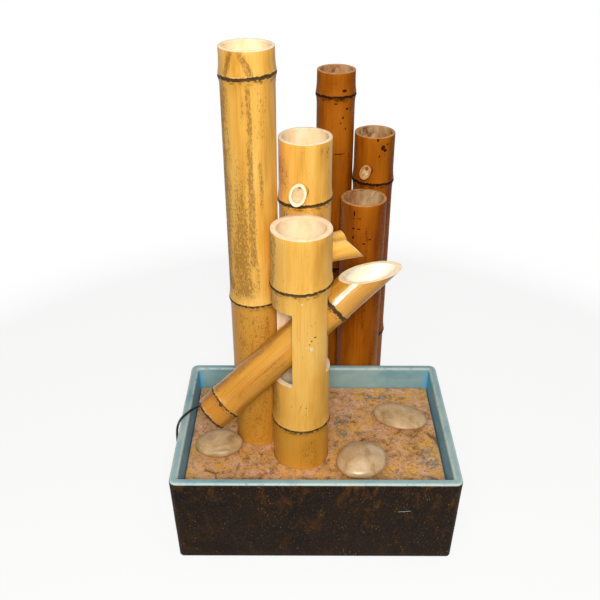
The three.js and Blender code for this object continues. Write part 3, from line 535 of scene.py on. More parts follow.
        # Brown streaks, with painted shade bands along the darker sides of some culms.
        where = self.stained_and_shaded(graph, stains_and_shade)
        clouds = graph.step(graph.noise((26, 26, 8), seed=self.seed + 7), 0.52, 0.74)
        cover = graph.either(where, graph.times(clouds, self.mottle))
        grit = graph.noise((640, 640, 260), 2, 0.6, seed=self.seed)
        clumps = graph.times(graph.noise((150, 150, 46), 3, 0.6, 0.4, self.seed + 1), 0.45)
        level = graph.plus(grit, clumps, graph.times(cover, 0.2))
        mottle = graph.times(graph.step(level, 0.83, 0.93), graph.step(cover, 0.03, 0.3))
        dots = graph.step(graph.noise((420, 420, 260), 1, seed=self.seed + 11), 0.73, 0.78)
        dark, ridge, smudge = self.scars(graph, rings)
        # The streaks' share also sets how dark the painted shade bands are.
        for mask, share in ((where, 0.32), (mottle, 0.52), (dots, self.specks), (smudge, 0.85)):
            colour = graph.tint(colour, self.brown, mask, share)
        colour = graph.tint(colour, self.ridge, ridge, 0.4)
        # Dark scars and marks, and on the rocker the painted shadow line round its tail.
        scars_and_shadow_line = graph.either(dark, self.marked(graph, [m for m in marks if not m.pale], radius))
        colour = graph.tint(colour, self.scar, scars_and_shadow_line, 0.93)
        # The pale spots, in the ridge's colour.
        worn = self.marked(graph, [mark for mark in marks if mark.pale], radius)
        colour = graph.tint(colour, self.ridge, worn)
        gloss = graph.plus(graph.times(graph.less(fibres, 0.5), 0.22), self.roughness)
        gloss = graph.plus(gloss, graph.times(graph.either(mottle, scars_and_shadow_line), 0.22))
        relief = graph.plus(graph.times(fibres, 0.5), graph.times(clumps, 0.5))
        relief = graph.less(relief, graph.times(graph.either(scars_and_shadow_line, dots), 0.6))
        graph.bump(relief, 0.00022, 0.55)
        return graph.finish(colour, gloss, Coat_Weight=self.polish(graph, scars_and_shadow_line, radius),
                            Coat_Roughness=0.16, Specular_IOR_Level=self.shine)


@dataclass(frozen=True)
class BambooInside:
    """The pale membrane on the inside of a culm, with brown patches."""

    name: str
    pale: Colour
    base: Colour
    brown: Colour
    dirt: float = 0.25
    seed: float = 0.0

    def build(self) -> Material:
        """Makes the material.

        Returns:
            The material.
        """
        graph = Graph(self.name)
        broad = graph.noise((60, 60, 22), 3, 0.6, seed=self.seed)
        lines = graph.noise((700, 700, 18), 3, 0.6, seed=self.seed)
        colour = graph.ramp(broad, [(0.32, self.base), (0.6, self.pale)])
        colour = graph.tint(colour, self.base, graph.step(lines, 0.5, 0.72), 0.3)
        patches = graph.step(graph.noise((75, 75, 45), 4, 0.65, 0.4, self.seed + 5), 0.5, 0.66)
        colour = graph.tint(colour, self.brown, patches, self.dirt)
        graph.bump(lines, 0.0002, 0.5)
        return graph.finish(colour, 0.62)


@dataclass(frozen=True)
class BambooCut:
    """Sawn bamboo: pale end grain with the dots of its fibre bundles."""

    name: str
    pale: Colour
    base: Colour
    dot: Colour
    dot_strength: float = 0.45
    seed: float = 0.0

    def build(self) -> Material:
        """Makes the material."""
        graph = Graph(self.name)
        broad = graph.noise((120, 120, 60), 3, 0.6, seed=self.seed)
        colour = graph.ramp(broad, [(0.34, self.base), (0.58, self.pale)])
        dots = graph.step(graph.cells(900), 0.34, 0.2)
        colour = graph.tint(colour, self.dot, dots, self.dot_strength)
        saw = graph.noise((240, 1900, 1900), seed=self.seed)
        graph.bump(graph.less(saw, dots), 0.00012, 0.6)
        return graph.finish(colour, graph.plus(graph.times(broad, 0.2), 0.55))


@dataclass(frozen=True)
class GlazeOutside:
    """The basin's outside: near-black brown glaze with rusty runs and pale pinholes."""

    name: str = "glaze_outside"
    dark: Colour = (14, 10, 8)
    brown: Colour = (30, 20, 12)
    rust: Colour = (98, 62, 22)
    fleck: Colour = (156, 128, 76)
    bare: Colour = (176, 190, 180)
    scratch: tuple[float, float] = (0.1227, 0.0834)

    def scratched(self, graph: Graph) -> Value:
        """The mask of the scratch on the front, which rises a little to the right."""
        front = graph.step(graph.along((0.0, -1.0, 0.0)), 0.12, 0.125)
        along = graph.size(graph.less(graph.along((1.0, 0.0, 0.0)), self.scratch[0]))
        rise = graph.less(graph.along((-0.09, 0.0, 1.0)), self.scratch[1])
        return graph.times(front, graph.step(along, 0.0095, 0.0075),
                           graph.step(graph.size(rise), 0.0007, 0.0003), 0.85)

    def build(self) -> Material:
        """Makes the material.

        Returns:
            The material.
        """
        graph = Graph(self.name)
        base = graph.noise((16, 16, 22), 4, 0.65, 0.6)
        colour = graph.ramp(base, [(0.34, self.dark), (0.55, self.brown), (0.75, self.dark)])
        runs = graph.noise((48, 48, 26), 5, 0.75, 0.5, 4.0)
        high = graph.step(graph.height(), 0.035, 0.15)
        right = graph.step(graph.along((1.0, 0.0, 0.0)), -0.12, 0.18)
        warm = graph.plus(graph.times(high, graph.plus(graph.times(right, 0.6), 0.3)), 0.16)
        colour = graph.tint(colour, self.rust, graph.times(graph.step(runs, 0.5, 0.68), warm))
        grain = graph.noise((420, 420, 300), 3, 0.7, 0.4)
        colour = graph.tint(colour, self.rust, graph.step(grain, 0.53, 0.68), 0.6)
        chance = graph.step(graph.noise((70, 70, 50), 3, 0.6, seed=9.0), 0.5, 0.64)
        flecks = graph.times(graph.step(graph.cells((300, 300, 150)), 0.24, 0.08), chance)
        colour = graph.tint(colour, self.fleck, flecks, 0.8)
        colour = graph.tint(colour, self.bare, self.scratched(graph))
        broken = graph.step(graph.noise(150, 3), 0.3, 0.5)
        colour = graph.tint(colour, self.bare, graph.times(graph.attribute("arris"), broken))
        graph.bump(graph.plus(grain, graph.times(runs, 0.8)), 0.0005, 0.45)
        return graph.finish(colour, graph.plus(graph.times(grain, 0.35), 0.36),
                            Specular_IOR_Level=0.1)


@dataclass(frozen=True)
class GlazeInside:
    """The basin's inside and rim: grey-teal glaze, thin and pale on the arrises."""

    name: str = "glaze_inside"
    teal: Colour = (140, 174, 180)
    blue: Colour = (112, 158, 170)
    pale: Colour = (164, 190, 186)
    bare: Colour = (210, 218, 208)
    # A brighter blue for the side walls below the rim: painted light that lifts their shade.
    deep: Colour = (92, 176, 222)

    def build(self) -> Material:
        """Makes the material.

        Returns:
            The material.
        """
        graph = Graph(self.name)
        base = graph.noise((13, 13, 20), 3, 0.6, 0.4, 2.0)
        colour = graph.ramp(base, [(0.33, self.blue), (0.5, self.teal), (0.72, self.pale)])
        grain = graph.noise(260, 3, 0.65)
        colour = graph.tint(colour, self.pale, graph.step(grain, 0.55, 0.75), 0.3)
        # The side walls below the rim get painted light, a brighter blue.
        side = graph.step(graph.size(graph.along((1.0, 0.0, 0.0))), 0.178, 0.186)
        painted_side_light = graph.times(side, graph.step(graph.height(), 0.144, 0.138), 0.9)
        colour = graph.tint(colour, self.deep, painted_side_light)
        broken = graph.step(graph.noise(120, 3, 0.6, seed=3.0), 0.26, 0.48)
        colour = graph.tint(colour, self.bare, graph.times(graph.attribute("arris"), broken), 0.9)
        graph.bump(grain, 0.0003, 0.35)
        return graph.finish(colour, graph.plus(graph.times(grain, 0.25), 0.28),
                            Specular_IOR_Level=0.25)


@dataclass(frozen=True)
class SlabStone:
    """Split flagstone: pinkish tan, with ochre patches, grey flakes and dark cracks, and painted
    shade in the deepest hollows of its surface.
    """

    name: str = "split_stone"
    tan: Colour = (206, 154, 98)
    pink: Colour = (228, 180, 148)
    ochre: Colour = (228, 170, 76)
    shadow: Colour = (112, 72, 38)
    grey: Colour = (116, 120, 112)
    crack_and_hollow_shade: Colour = (74, 60, 40)

    def build(self) -> Material:
        """Makes the material.

        Returns:
            The material.
        """
        graph = Graph(self.name)
        clouds = graph.noise(42, 5, 0.75, 0.5)
        colour = graph.ramp(clouds, [(0.34, self.shadow), (0.46, self.tan), (0.62, self.pink)])
        orange = graph.times(graph.step(graph.noise(15, 3, 0.6, 0.5, 12.0), 0.4, 0.52),
                             graph.step(graph.noise(70, 4, 0.7, 0.6, 4.0), 0.44, 0.56))
        colour = graph.tint(colour, self.ochre, orange, 0.85)
        flake = graph.times(graph.step(graph.noise(21, 3, 0.6, 0.5, 31.0), 0.57, 0.66),
                            graph.step(graph.noise(110, 3, 0.75, 0.6, 8.0), 0.4, 0.54))
        colour = graph.tint(colour, self.grey, flake, 0.85)
        grain = graph.noise(300, 4, 0.8, 0.4)
        colour = graph.tint(colour, self.shadow, graph.step(grain, 0.5, 0.64), 0.6)
        rifts = graph.step(graph.noise(46, 5, 0.75, 1.0, 41.0), 0.54, 0.68)
        colour = graph.tint(colour, self.shadow, rifts, 0.72)
        light = graph.step(graph.noise(230, 3, 0.75, seed=5.0), 0.53, 0.68)
        colour = graph.tint(colour, self.pink, light, 0.55)
        seams = graph.times(graph.step(graph.noise(75, 5, 0.8, 1.8, 17.0), 0.58, 0.64),
                            graph.step(graph.noise(20, seed=23.0), 0.42, 0.56))
        pits = graph.step(graph.noise(200, 3, 0.7, 0.8, 27.0), 0.6, 0.68)
        cracks = graph.times(graph.either(seams, pits), 0.75)
        # The deepest hollows of the surface are darkened: painted shade.
        hollows = graph.times(graph.attribute("hollow"), 0.5)
        colour = graph.tint(colour, self.crack_and_hollow_shade, graph.either(cracks, hollows))
        graph.bump(graph.less(grain, graph.times(seams, 0.6)), 0.0012, 0.7)
        return graph.finish(colour, 0.82)


@dataclass(frozen=True)
class PebbleStone:
    """A smooth tan pebble with fine grain, damp where its sheen is set."""

    name: str
    base: Colour = (196, 162, 116)
    dark: Colour = (160, 128, 84)
    pale: Colour = (216, 184, 142)
    seed: float = 0.0
    roughness: float = 0.45
    damp: float = 0.0

    def build(self) -> Material:
        """Makes the material.

        Returns:
            The material.
        """
        graph = Graph(self.name)
        clouds = graph.noise((34, 34, 60), 4, 0.65, 0.7, self.seed)
        colour = graph.ramp(clouds, [(0.34, self.dark), (0.5, self.base), (0.68, self.pale)])
        grain = graph.noise(420, 3, 0.7, 0.0, self.seed)
        colour = graph.tint(colour, self.dark, graph.step(grain, 0.52, 0.7), 0.4)
        colour = graph.tint(colour, self.pale, graph.step(grain, 0.42, 0.3), 0.4)
        graph.bump(graph.plus(grain, clouds), 0.0004, 0.5)
        rough = graph.plus(graph.times(clouds, 0.3), self.roughness - 0.15)
        return graph.finish(colour, rough, Coat_Weight=self.damp, Coat_Roughness=0.24)


@dataclass(frozen=True)
class Moulded:
    """Moulded plastic or rubber with a fine grain."""

    name: str
    colour: Colour
    worn: Colour
    roughness: float
    grain: float = 900.0
    depth: float = 0.00006

    def build(self) -> Material:
        """Makes the material."""
        graph = Graph(self.name)
        fine = graph.noise(self.grain, 3, 0.6)
        wear = graph.step(graph.noise(70, 4, 0.6, seed=2.0), 0.45, 0.75)
        colour = graph.tint(linear(self.colour), self.worn, wear)
        graph.bump(fine, self.depth, 0.6)
        return graph.finish(colour, graph.plus(graph.times(fine, 0.18), self.roughness - 0.09))


@dataclass(frozen=True)
class Metal:
    """Plated metal with fine turning marks."""

    name: str = "plated_metal"
    colour: Colour = (200, 198, 190)
    dull: Colour = (150, 146, 138)

    def build(self) -> Material:
        """Makes the material."""
        graph = Graph(self.name)
        marks = graph.noise((4000, 300, 300))
        colour = graph.tint(linear(self.colour), self.dull, graph.step(marks, 0.4, 0.7))
        graph.bump(marks, 0.00003, 0.5)
        rough = graph.plus(graph.times(marks, 0.2), 0.18)
        return graph.finish(colour, rough, Metallic=1.0)


def turned(degrees: float, axis: Axis) -> Matrix:
    """A turn about an axis."""
    return Matrix.Rotation(math.radians(degrees), 4, axis.value)


def soften(mesh: bpy.types.Mesh, sharp: float = SHARP_ANGLE) -> None:
    """Shades a mesh smooth up to an angle in degrees."""
    mesh.shade_smooth()
    mesh.set_sharp_from_angle(angle=math.radians(sharp))


def linked(name: str, data: bpy.types.ID) -> Piece:
    """Puts new data into the scene as an object."""
    piece = bpy.data.objects.new(name, data)
    bpy.context.scene.collection.objects.link(piece)
    return piece


def new_piece(name: str, vertices: Sequence[Point], faces: Sequence[Sequence[int]],
              materials: Sequence[Material], surfaces: Sequence[int] = (),
              sharp: float = SHARP_ANGLE, placing: Matrix | None = None) -> Piece:
    """Makes a smooth-shaded mesh piece with its faces pointing out.

    Args:
        name: The piece's name.
        vertices: Its points.
        faces: Its faces, as lists of point numbers.
        materials: Its material slots.
        surfaces: The slot of each face, in order, or nothing for the first slot.
        sharp: The angle in degrees past which an edge stays sharp.
        placing: Where it stands, or nothing for the frame's own place.

    Returns:
        The piece.
    """
    mesh = bpy.data.meshes.new(name)
    mesh.from_pydata(vertices, [], faces)
    for material in materials:
        mesh.materials.append(material)
    if surfaces:
        mesh.polygons.foreach_set("material_index", list(surfaces))
    work = bmesh.new()
    work.from_mesh(mesh)
    bmesh.ops.recalc_face_normals(work, faces=work.faces)
    work.to_mesh(mesh)
    work.free()
    soften(mesh, sharp)
    piece = linked(name, mesh)
    if placing is not None:
        piece.matrix_world = placing
    return piece


def stored(piece: Piece, name: str, values: Sequence[float]) -> None:
    """Stores a number on each point of a piece, for its material."""
    attribute = piece.data.attributes.new(name, "FLOAT", "POINT")
    attribute.data.foreach_set("value", values)


def revolve(name: str, profile: Profile, sides: int, materials: Sequence[Material],
            placing: Matrix, closed: bool = False,
            bend: Callable[[Vector], Vector] | None = None) -> Piece:
    """Turns a profile about Z.

    Args:
        name: The piece's name.
        profile: Radius, height and surface, from point to point. A radius of 0 is on the axis.
        sides: Points in each ring.
        materials: The material slots.
        placing: Where the piece stands.
        closed: Whether the profile's last point joins its first.
        bend: Moves each point, to give a culm its own shape.

    Returns:
        The piece.
    """
    vertices: list[Point] = []
    rings: list[list[int]] = []
    for radius, height, _ in profile:
        count = 1 if radius == 0 else sides
        rings.append(list(range(len(vertices), len(vertices) + count)))
        for side in range(count):
            angle = math.tau * side / sides
            point = Vector((radius * math.cos(angle), radius * math.sin(angle), height))
            vertices.append(tuple(bend(point) if bend else point))
    faces, surfaces = [], []
    pairs = list(zip(rings, rings[1:])) + ([(rings[-1], rings[0])] if closed else [])
    for (low, high), (_, _, surface) in zip(pairs, profile):
        for side in range(sides):
            after = (side + 1) % sides
            corners = [low[side % len(low)], low[after % len(low)],
                       high[after % len(high)], high[side % len(high)]]
            face = list(dict.fromkeys(corners))
            if len(face) > 2:
                faces.append(face)
                surfaces.append(surface)
    return new_piece(name, vertices, faces, materials, surfaces, placing=placing)


def plain(outline: Sequence[tuple[float, float]]) -> Profile:
    """A profile with one surface all over."""
    return [(radius, height, 0) for radius, height in outline]


def cut_away(piece: Piece, cutters: Sequence[Piece]) -> None:
    """Cuts shapes out of a piece and deletes them.

    Args:
        piece: The piece.
        cutters: Closed shapes with the same material slots as the piece.
    """
    group = bpy.data.collections.new("cutters")
    for cutter in cutters:
        group.objects.link(cutter)
    modifier = piece.modifiers.new("cut", "BOOLEAN")
    modifier.operation = "DIFFERENCE"
    modifier.solver = "EXACT"
    modifier.operand_type = "COLLECTION"
    modifier.collection = group
    settled = bpy.context.evaluated_depsgraph_get()
    mesh = bpy.data.meshes.new_from_object(piece.evaluated_get(settled))
    piece.modifiers.clear()
    old = piece.data
    piece.data = mesh
    bpy.data.meshes.remove(old)
    mesh.name = piece.name
    bpy.data.collections.remove(group)
    for cutter in cutters:
        bpy.data.meshes.remove(cutter.data)
    soften(mesh)


def drill(radius: float, low: float, high: float, materials: Sequence[Material],
          placing: Matrix, sides: int = 48) -> Piece:
    """Makes a round cutter along its own Z axis, whose hole has sawn faces."""
    outline = ((0.0, low), (radius, low), (radius, high), (0.0, high))
    profile = [(across, height, Surface.CUT) for across, height in outline]
    return revolve("cutter", profile, sides, materials, placing)


def block(low: Point, high: Point, corner: float, materials: Sequence[Material],
          placing: Matrix) -> Piece:
    """Makes a block cutter with round upright corners and sawn faces.

    Args:
        low: Its lowest corner.
        high: Its highest corner.
        corner: The radius of its upright corners.
        materials: The material slots.
        placing: Where it stands.

    Returns:
        The cutter.
    """
    steps = 6
    (left, front, bottom), (right, back, top) = low, high
    outline = []
    corners = ((right - corner, back - corner), (left + corner, back - corner),
               (left + corner, front + corner), (right - corner, front + corner))
    for quarter, (mid_x, mid_y) in enumerate(corners):
        for step in range(steps + 1):
            angle = math.pi / 2 * (quarter + step / steps)
            outline.append((mid_x + corner * math.cos(angle), mid_y + corner * math.sin(angle)))
    count = len(outline)
    vertices = [(x, y, z) for z in (bottom, top) for x, y in outline]
    faces = [list(range(count)), list(range(count, 2 * count))]
    faces += [[i, (i + 1) % count, count + (i + 1) % count, count + i] for i in range(count)]
    surfaces = [Surface.CUT] * len(faces)
    return new_piece("cutter", vertices, faces, materials, surfaces, placing=placing)


def slant(radius: float, top_start: float, tip: float, materials: Sequence[Material],
          placing: Matrix) -> Piece:
    """Makes a cutter for all past a slanted mouth, whose top is at -X and whose lip is at +X."""
    size = 6 * radius
    tilt = Matrix.Rotation(-math.atan2(tip - top_start, 2 * radius), 4, "Y")
    middle_of_cut = Matrix.Translation((0, 0, (top_start + tip) / 2))
    return block((-size, -size, 0), (size, size, size), radius / 4, materials,
                 placing @ middle_of_cut @ tilt)


def dressed(piece: Piece, body: str, slot: str, *nodes: str) -> Piece:
    """Gives a piece its body, hides the nodes that it stands for, and reports it."""
    piece.name = piece.data.name = f"{nodes[0]}_finished"
    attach(piece, body)
    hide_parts(*nodes)
    log.info("%s rides on %s and stands for %s", piece.name, body, ", ".join(nodes))
    return piece


def middle(node: str) -> Vector:
    """The middle of a CAD node's box."""
    low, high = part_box(node)
    return (low + high) / 2


def shaping(seed: float, rings: Sequence[Ring] = ()) -> Callable[[Vector], Vector]:
    """Makes what takes a culm slightly out of round and tilts its nodes.

    Args:
        seed: Makes the culm differ from others.
        rings: The culm's nodes.

    Returns:
        A function that moves a point.
    """
    oval, three_sided, reach = 0.0035, 0.0015, 0.012

    def bend(point: Vector) -> Vector:
        """Moves one point of the culm."""
        angle = math.atan2(point.y, point.x)
        share = 1 - oval * (1 - math.cos(2 * angle + seed))
        share -= three_sided * (1 - math.cos(3 * angle + 2 * seed))
        lift = 0.0
        for ring in rings:
            near = math.exp(-((point.z - ring.height) / reach) ** 2)
            lift += near * (ring.tilt_x * point.x + ring.tilt_y * point.y)
        return Vector((point.x * share, point.y * share, point.z + lift))

    return bend


# How a culm swells at a node: the offset from it, and the share of its bulge
SWELLING = (
    (-0.014, 0.0), (-0.009, 0.16), (-0.005, 0.46), (-0.0024, 0.82), (-0.0016, 0.95),
    (-0.001, 0.84), (-0.0004, 0.44), (0.0003, 0.4), (0.001, 0.6), (0.0022, 0.7), (0.0036, 0.6),
    (0.007, 0.36), (0.012, 0.14), (0.02, 0.0))


@dataclass(frozen=True)
class CulmShape:
    """The measures of a culm in metres, along its own Z axis.

    Attributes:
        radius: Its radius between the nodes.
        wall: The thickness of its wall.
        foot: Its lower end.
        top: Its upper end.
        nodes: The heights of its nodes.
        bulge: How far the nodes swell out.
        seed: Makes it differ from the other culms.
        tilts: How steeply each node rises along the culm's X axis.
        weights: How heavy each node's scar is.
        web: Half the thickness of the wall across it at a node.
        cove: The radius where a hollow's floor turns into its wall.
        row: The distance between its rows of points.
        inner_row: The same on its inside.
        clear: How near to a node a plain row may lie.
    """

    radius: float
    wall: float
    foot: float
    top: float
    nodes: tuple[float, ...]
    bulge: float = 0.0022
    seed: float = 0.0
    tilts: tuple[float, ...] = ()
    weights: tuple[float, ...] = ()
    web: float = 0.003
    cove: float = 0.004
    row: float = 0.011
    inner_row: float = 0.02
    clear: float = 0.008

    def rings(self) -> list[Ring]:
        """The culm's nodes, each with a slight tilt of its own."""
        rings = []
        for number, height in enumerate(self.nodes):
            place = Vector((self.seed * 3.1 + 0.4, height * 37.0, 1.7))
            tilt = noise.noise_vector(place) * 0.035
            tilt_x = self.tilts[number] if self.tilts else tilt.x
            weight = self.weights[number] if self.weights else 1.0
            rings.append(Ring(height, tilt_x, tilt.y * 0.5, weight))
        return rings

    def radius_at(self, height: float) -> float:
        """The outer radius at a height, with the swelling of the nodes."""
        share = 0.0
        for node in self.nodes:
            offset = height - node
            for (low, low_share), (high, high_share) in zip(SWELLING, SWELLING[1:]):
                if low <= offset <= high:
                    rise = (high_share - low_share) * (offset - low) / (high - low)
                    share = max(share, low_share + rise)
        return self.radius + self.bulge * share

    def rows(self) -> list[float]:
        """The heights of the outer rows of points: close together at the nodes."""
        heights = {node + offset for node in self.nodes for offset, _ in SWELLING}
        rows = max(2, round((self.top - self.foot) / self.row))
        for row in range(1, rows):
            height = self.foot + (self.top - self.foot) * row / rows
            if all(abs(height - node) > self.clear for node in self.nodes):
                heights.add(height)
        low, high = self.foot + EDGE, self.top - EDGE
        return [height for height in sorted(heights) if low < height < high]

    def outside(self) -> Profile:
        """The outer profile with its sawn edges broken, and down into the open cup at the top.

        Returns:
            The profile.
        """
        skin, cut = Surface.SKIN, Surface.CUT
        inner = self.radius - self.wall + EDGE * 0.875
        return [
            (0.0, self.foot, cut), (self.radius - EDGE / 2, self.foot, skin),
            (self.radius, self.foot + EDGE, skin),
            *((self.radius_at(height), height, skin) for height in self.rows()),
            (self.radius, self.top - EDGE, cut),
            (self.radius - EDGE * 0.35, self.top - EDGE * 0.3, cut),
            (self.radius - EDGE, self.top, cut), (inner, self.top, cut),
            *((radius, height, Surface.INSIDE) for radius, height in reversed(self.cup()))]

    def hollow(self, low: float, high: float) -> list[tuple[float, float]]:
        """The profile of a hollow from its dished floor up to a height."""
        inner, cove = self.radius - self.wall, self.cove
        floor = [(0.0, low), (inner * 0.6, low + cove * 0.05), (inner - cove * 0.625, low + cove / 4),
                 (inner, low + cove)]
        rows = max(1, round((high - low) / self.inner_row))
        wall = [(inner, low + (high - low) * row / rows) for row in range(1, rows + 1)]
        return floor + [point for point in wall if point[1] > low + cove * 1.5]

    def cup(self) -> list[tuple[float, float]]:
        """The open hollow over the highest node, up to the broken edge of the rim."""
        return self.hollow(self.nodes[-1] + self.web, self.top - EDGE * 0.75)

    def hollow_cutters(self, materials: Sequence[Material], placing: Matrix) -> list[Piece]:
        """Makes the cutters of the closed hollows between the nodes."""
        bend = shaping(self.seed, self.rings())
        cutters = []
        for low, high in zip(self.nodes, self.nodes[1:]):
            points = [*self.hollow(low + self.web, high - self.web), (0.0, high - self.web)]
            profile = [(radius, height, Surface.INSIDE) for radius, height in points]
            cutters.append(revolve("cutter", profile, TUBE_SIDES, materials, placing, bend=bend))
        return cutters

    def solid(self, name: str, materials: Sequence[Material], placing: Matrix) -> Piece:
        """Makes the culm with its open cup, before anything is cut."""
        bend = shaping(self.seed, self.rings())
        return revolve(name, self.outside(), CULM_SIDES, materials, placing, bend=bend)


@dataclass
class Bamboo:
    """The finishes of one kind of bamboo, whose inside and cut are shared by its culms."""

    skin: BambooSkin
    inside: BambooInside
    cut: BambooCut
    inside_material: Material = field(init=False)
    cut_material: Material = field(init=False)

    def __post_init__(self) -> None:
        """Makes the shared materials."""
        self.inside_material = self.inside.build()
        self.cut_material = self.cut.build()

    def slots(self, name: str, radius: float, rings: Sequence[Ring] = (),
              stains_and_shade: Sequence[StainOrShade] = (), marks: Sequence[Mark] = ()) -> list[Material]:
        """The material slots of a culm, in the order of Surface."""
        skin = self.skin.build(name, radius, rings, stains_and_shade, marks)
        return [skin, self.inside_material, self.cut_material]


@dataclass(frozen=True)
class Spout:
    """A short tube through a post's wall, with a web behind its slanted mouth.

    Attributes:
        node: Its CAD node.
        post: The node of its post.
        start: Where it starts, from the post's axis.
        reach: Where its lower lip ends.
        radius: Its radius.
        heading: Its heading in plan, in degrees.
        height: The height of its axis.
        tilt: The slant of its mouth, in degrees.
        bore: The radius of its inner bore.
        web: Where the inner bore ends, or the mouth's hollow starts where both are alike.
        outlet: The radius of the small outlet at the top of its web.
        sunk: How deep its web lies in its mouth.
        mouth_share: The radius of its mouth's hollow, as a share of its own.
        rows: How many rows of points its skin has.
    """

    node: str
    post: str
    start: float
    reach: float
    radius: float
    heading: float
    height: float
    tilt: float
    bore: float
    web: float
    outlet: float = 0.0026
    sunk: float = 0.0042
    mouth_share: float = 0.7
    rows: int = 12

    def placing(self) -> Matrix:
        """Where the spout's axis starts and points, with its top at its own -X."""
        centre = middle(self.post)
        place = Matrix.Translation((centre.x, centre.y, self.height))
        return place @ turned(self.heading, Axis.Z) @ turned(90, Axis.Y)

    def slope(self) -> float:
        """How far the mouth's cut runs along the spout for each metre across it."""
        return math.tan(math.radians(self.tilt))

    def hollows(self, materials: Sequence[Material]) -> list[Piece]:
        """Makes the cutters of the mouth's hollow and of what leads to it.

        Args:
            materials: The material slots.

        Returns:
            The cutters.
        """
        placing, slope = self.placing(), self.slope()
        inner = self.radius * self.mouth_share
        straight = self.bore > inner - 0.0001
        floor = self.web if straight else self.reach - self.radius * slope - self.sunk
        far = self.reach + 4 * self.radius

        def sloped(point: Vector) -> Vector:
            """Lays the hollow's floor along the mouth's cut."""
            return point if straight else Vector((point.x, point.y, point.z + point.x * slope))

        outline = ((0.0, floor), (inner - EDGE, floor), (inner, floor + EDGE), (inner, far),
                   (0.0, far))
        profile = [(radius, height, Surface.INSIDE) for radius, height in outline]
        mouth = revolve("cutter", profile, 64, materials, placing, bend=sloped)
        start, overrun = self.start - 0.002, 0.003
        if straight:
            return [mouth, drill(self.bore, start, self.web + overrun, materials, placing, 32)]
        raised = placing @ Matrix.Translation((self.outlet + EDGE / 2 - inner, 0.0, 0.0))
        end = self.reach - self.radius * slope
        return [mouth, drill(self.bore, start, self.web - overrun / 2, materials, placing, 32),
                drill(self.outlet, self.web - overrun, end, materials, raised, 28)]

    def hole(self, materials: Sequence[Material]) -> Piece:
        """Makes the cutter of the hole in the post."""
        return drill(self.radius + FIT, 0.0, 2 * self.reach, materials, self.placing())

    def build(self, bamboo: Bamboo, slot: str) -> Piece:
        """Makes the spout.

        Args:
            bamboo: Its finishes.
            slot: The record's material slot.

        Returns:
            The piece.
        """
        materials = bamboo.slots(self.node, self.radius)
        skin, cut = Surface.SKIN, Surface.CUT
        end = self.reach + self.radius
        length = end - self.start
        rows = [(self.radius, self.start + length * row / self.rows, skin)
                for row in range(1, self.rows)]
        profile = [(0.0, self.start, cut), (self.radius - EDGE / 2, self.start, cut),
                   (self.radius, self.start + EDGE * 0.625, skin), *rows,
                   (self.radius, end, cut), (0.0, end, cut)]
        placing, bend = self.placing(), shaping(self.reach * 90)
        spout = revolve(self.node, profile, TUBE_SIDES, materials, placing, bend=bend)
        top_start = self.reach - 2 * self.radius * self.slope()
        mouth = slant(self.radius, top_start, self.reach, materials, placing)
        cut_away(spout, [*self.hollows(materials), mouth])
        return dressed(spout, "frame", slot, self.node)


@dataclass
class Post:
    """A standing culm with its cuts and spouts."""

    node: str
    shape: CulmShape
    bamboo: Bamboo
    slot: str
    stains_and_shade: tuple[StainOrShade, ...] = ()
    spouts: tuple[Spout, ...] = ()
    marks: tuple[Mark, ...] = ()
    spout_bamboo: Bamboo | None = None

    def placing(self) -> Matrix:
        """Where the post stands, with its height from the ground."""
        centre = middle(self.node)
        return Matrix.Translation((centre.x, centre.y, 0.0))

    def more_cuts(self, materials: Sequence[Material]) -> list[Piece]:
        """Makes further cutters, none on a post without slots."""
        return []

    def build(self) -> Piece:
        """Makes the post and its spouts.

        Returns:
            The post.
        """
        placing = self.placing()
        materials = self.bamboo.slots(
            self.node, self.shape.radius, self.shape.rings(), self.stains_and_shade, self.marks)
        post = self.shape.solid(self.node, materials, placing)
        cutters = [spout.hole(materials) for spout in self.spouts] + self.more_cuts(materials)
        if cutters:
            cut_away(post, cutters + self.shape.hollow_cutters(materials, placing))
        for spout in self.spouts:
            spout.build(self.spout_bamboo or self.bamboo, self.slot)
        return dressed(post, "frame", self.slot, self.node)


@dataclass
class PivotPost(Post):
    """The post that carries the rocker: two tall slots and a bore for the pin."""

    slot_half: float = 0.031
    slot_corner: float = 0.002
    overlap: float = 0.004
    overrun: float = 0.006
    left: tuple[float, float] = (0.25506, 0.370)
    right: tuple[float, float] = (0.26966, 0.388)

    def more_cuts(self, materials: Sequence[Material]) -> list[Piece]:
        """Makes the cutters of the slots and of the pin's bore.

        Args:
            materials: The material slots.

        Returns:
            The cutters.
        """
        placing = self.placing() @ turned(HEADING, Axis.Z)
        reach = self.shape.radius + self.overrun
        cutters = []
        for start, end, (low, high) in ((-reach, self.overlap, self.left),
                                        (-self.overlap, reach, self.right)):
            cutters.append(block((start, -self.slot_half, low), (end, self.slot_half, high),
                                 self.slot_corner, materials, placing))
        across = placing @ Matrix.Translation((0, 0, PIVOT[2])) @ turned(90, Axis.X)
        return [*cutters, drill(PIN_BORE, -reach, reach, materials, across, 40)]


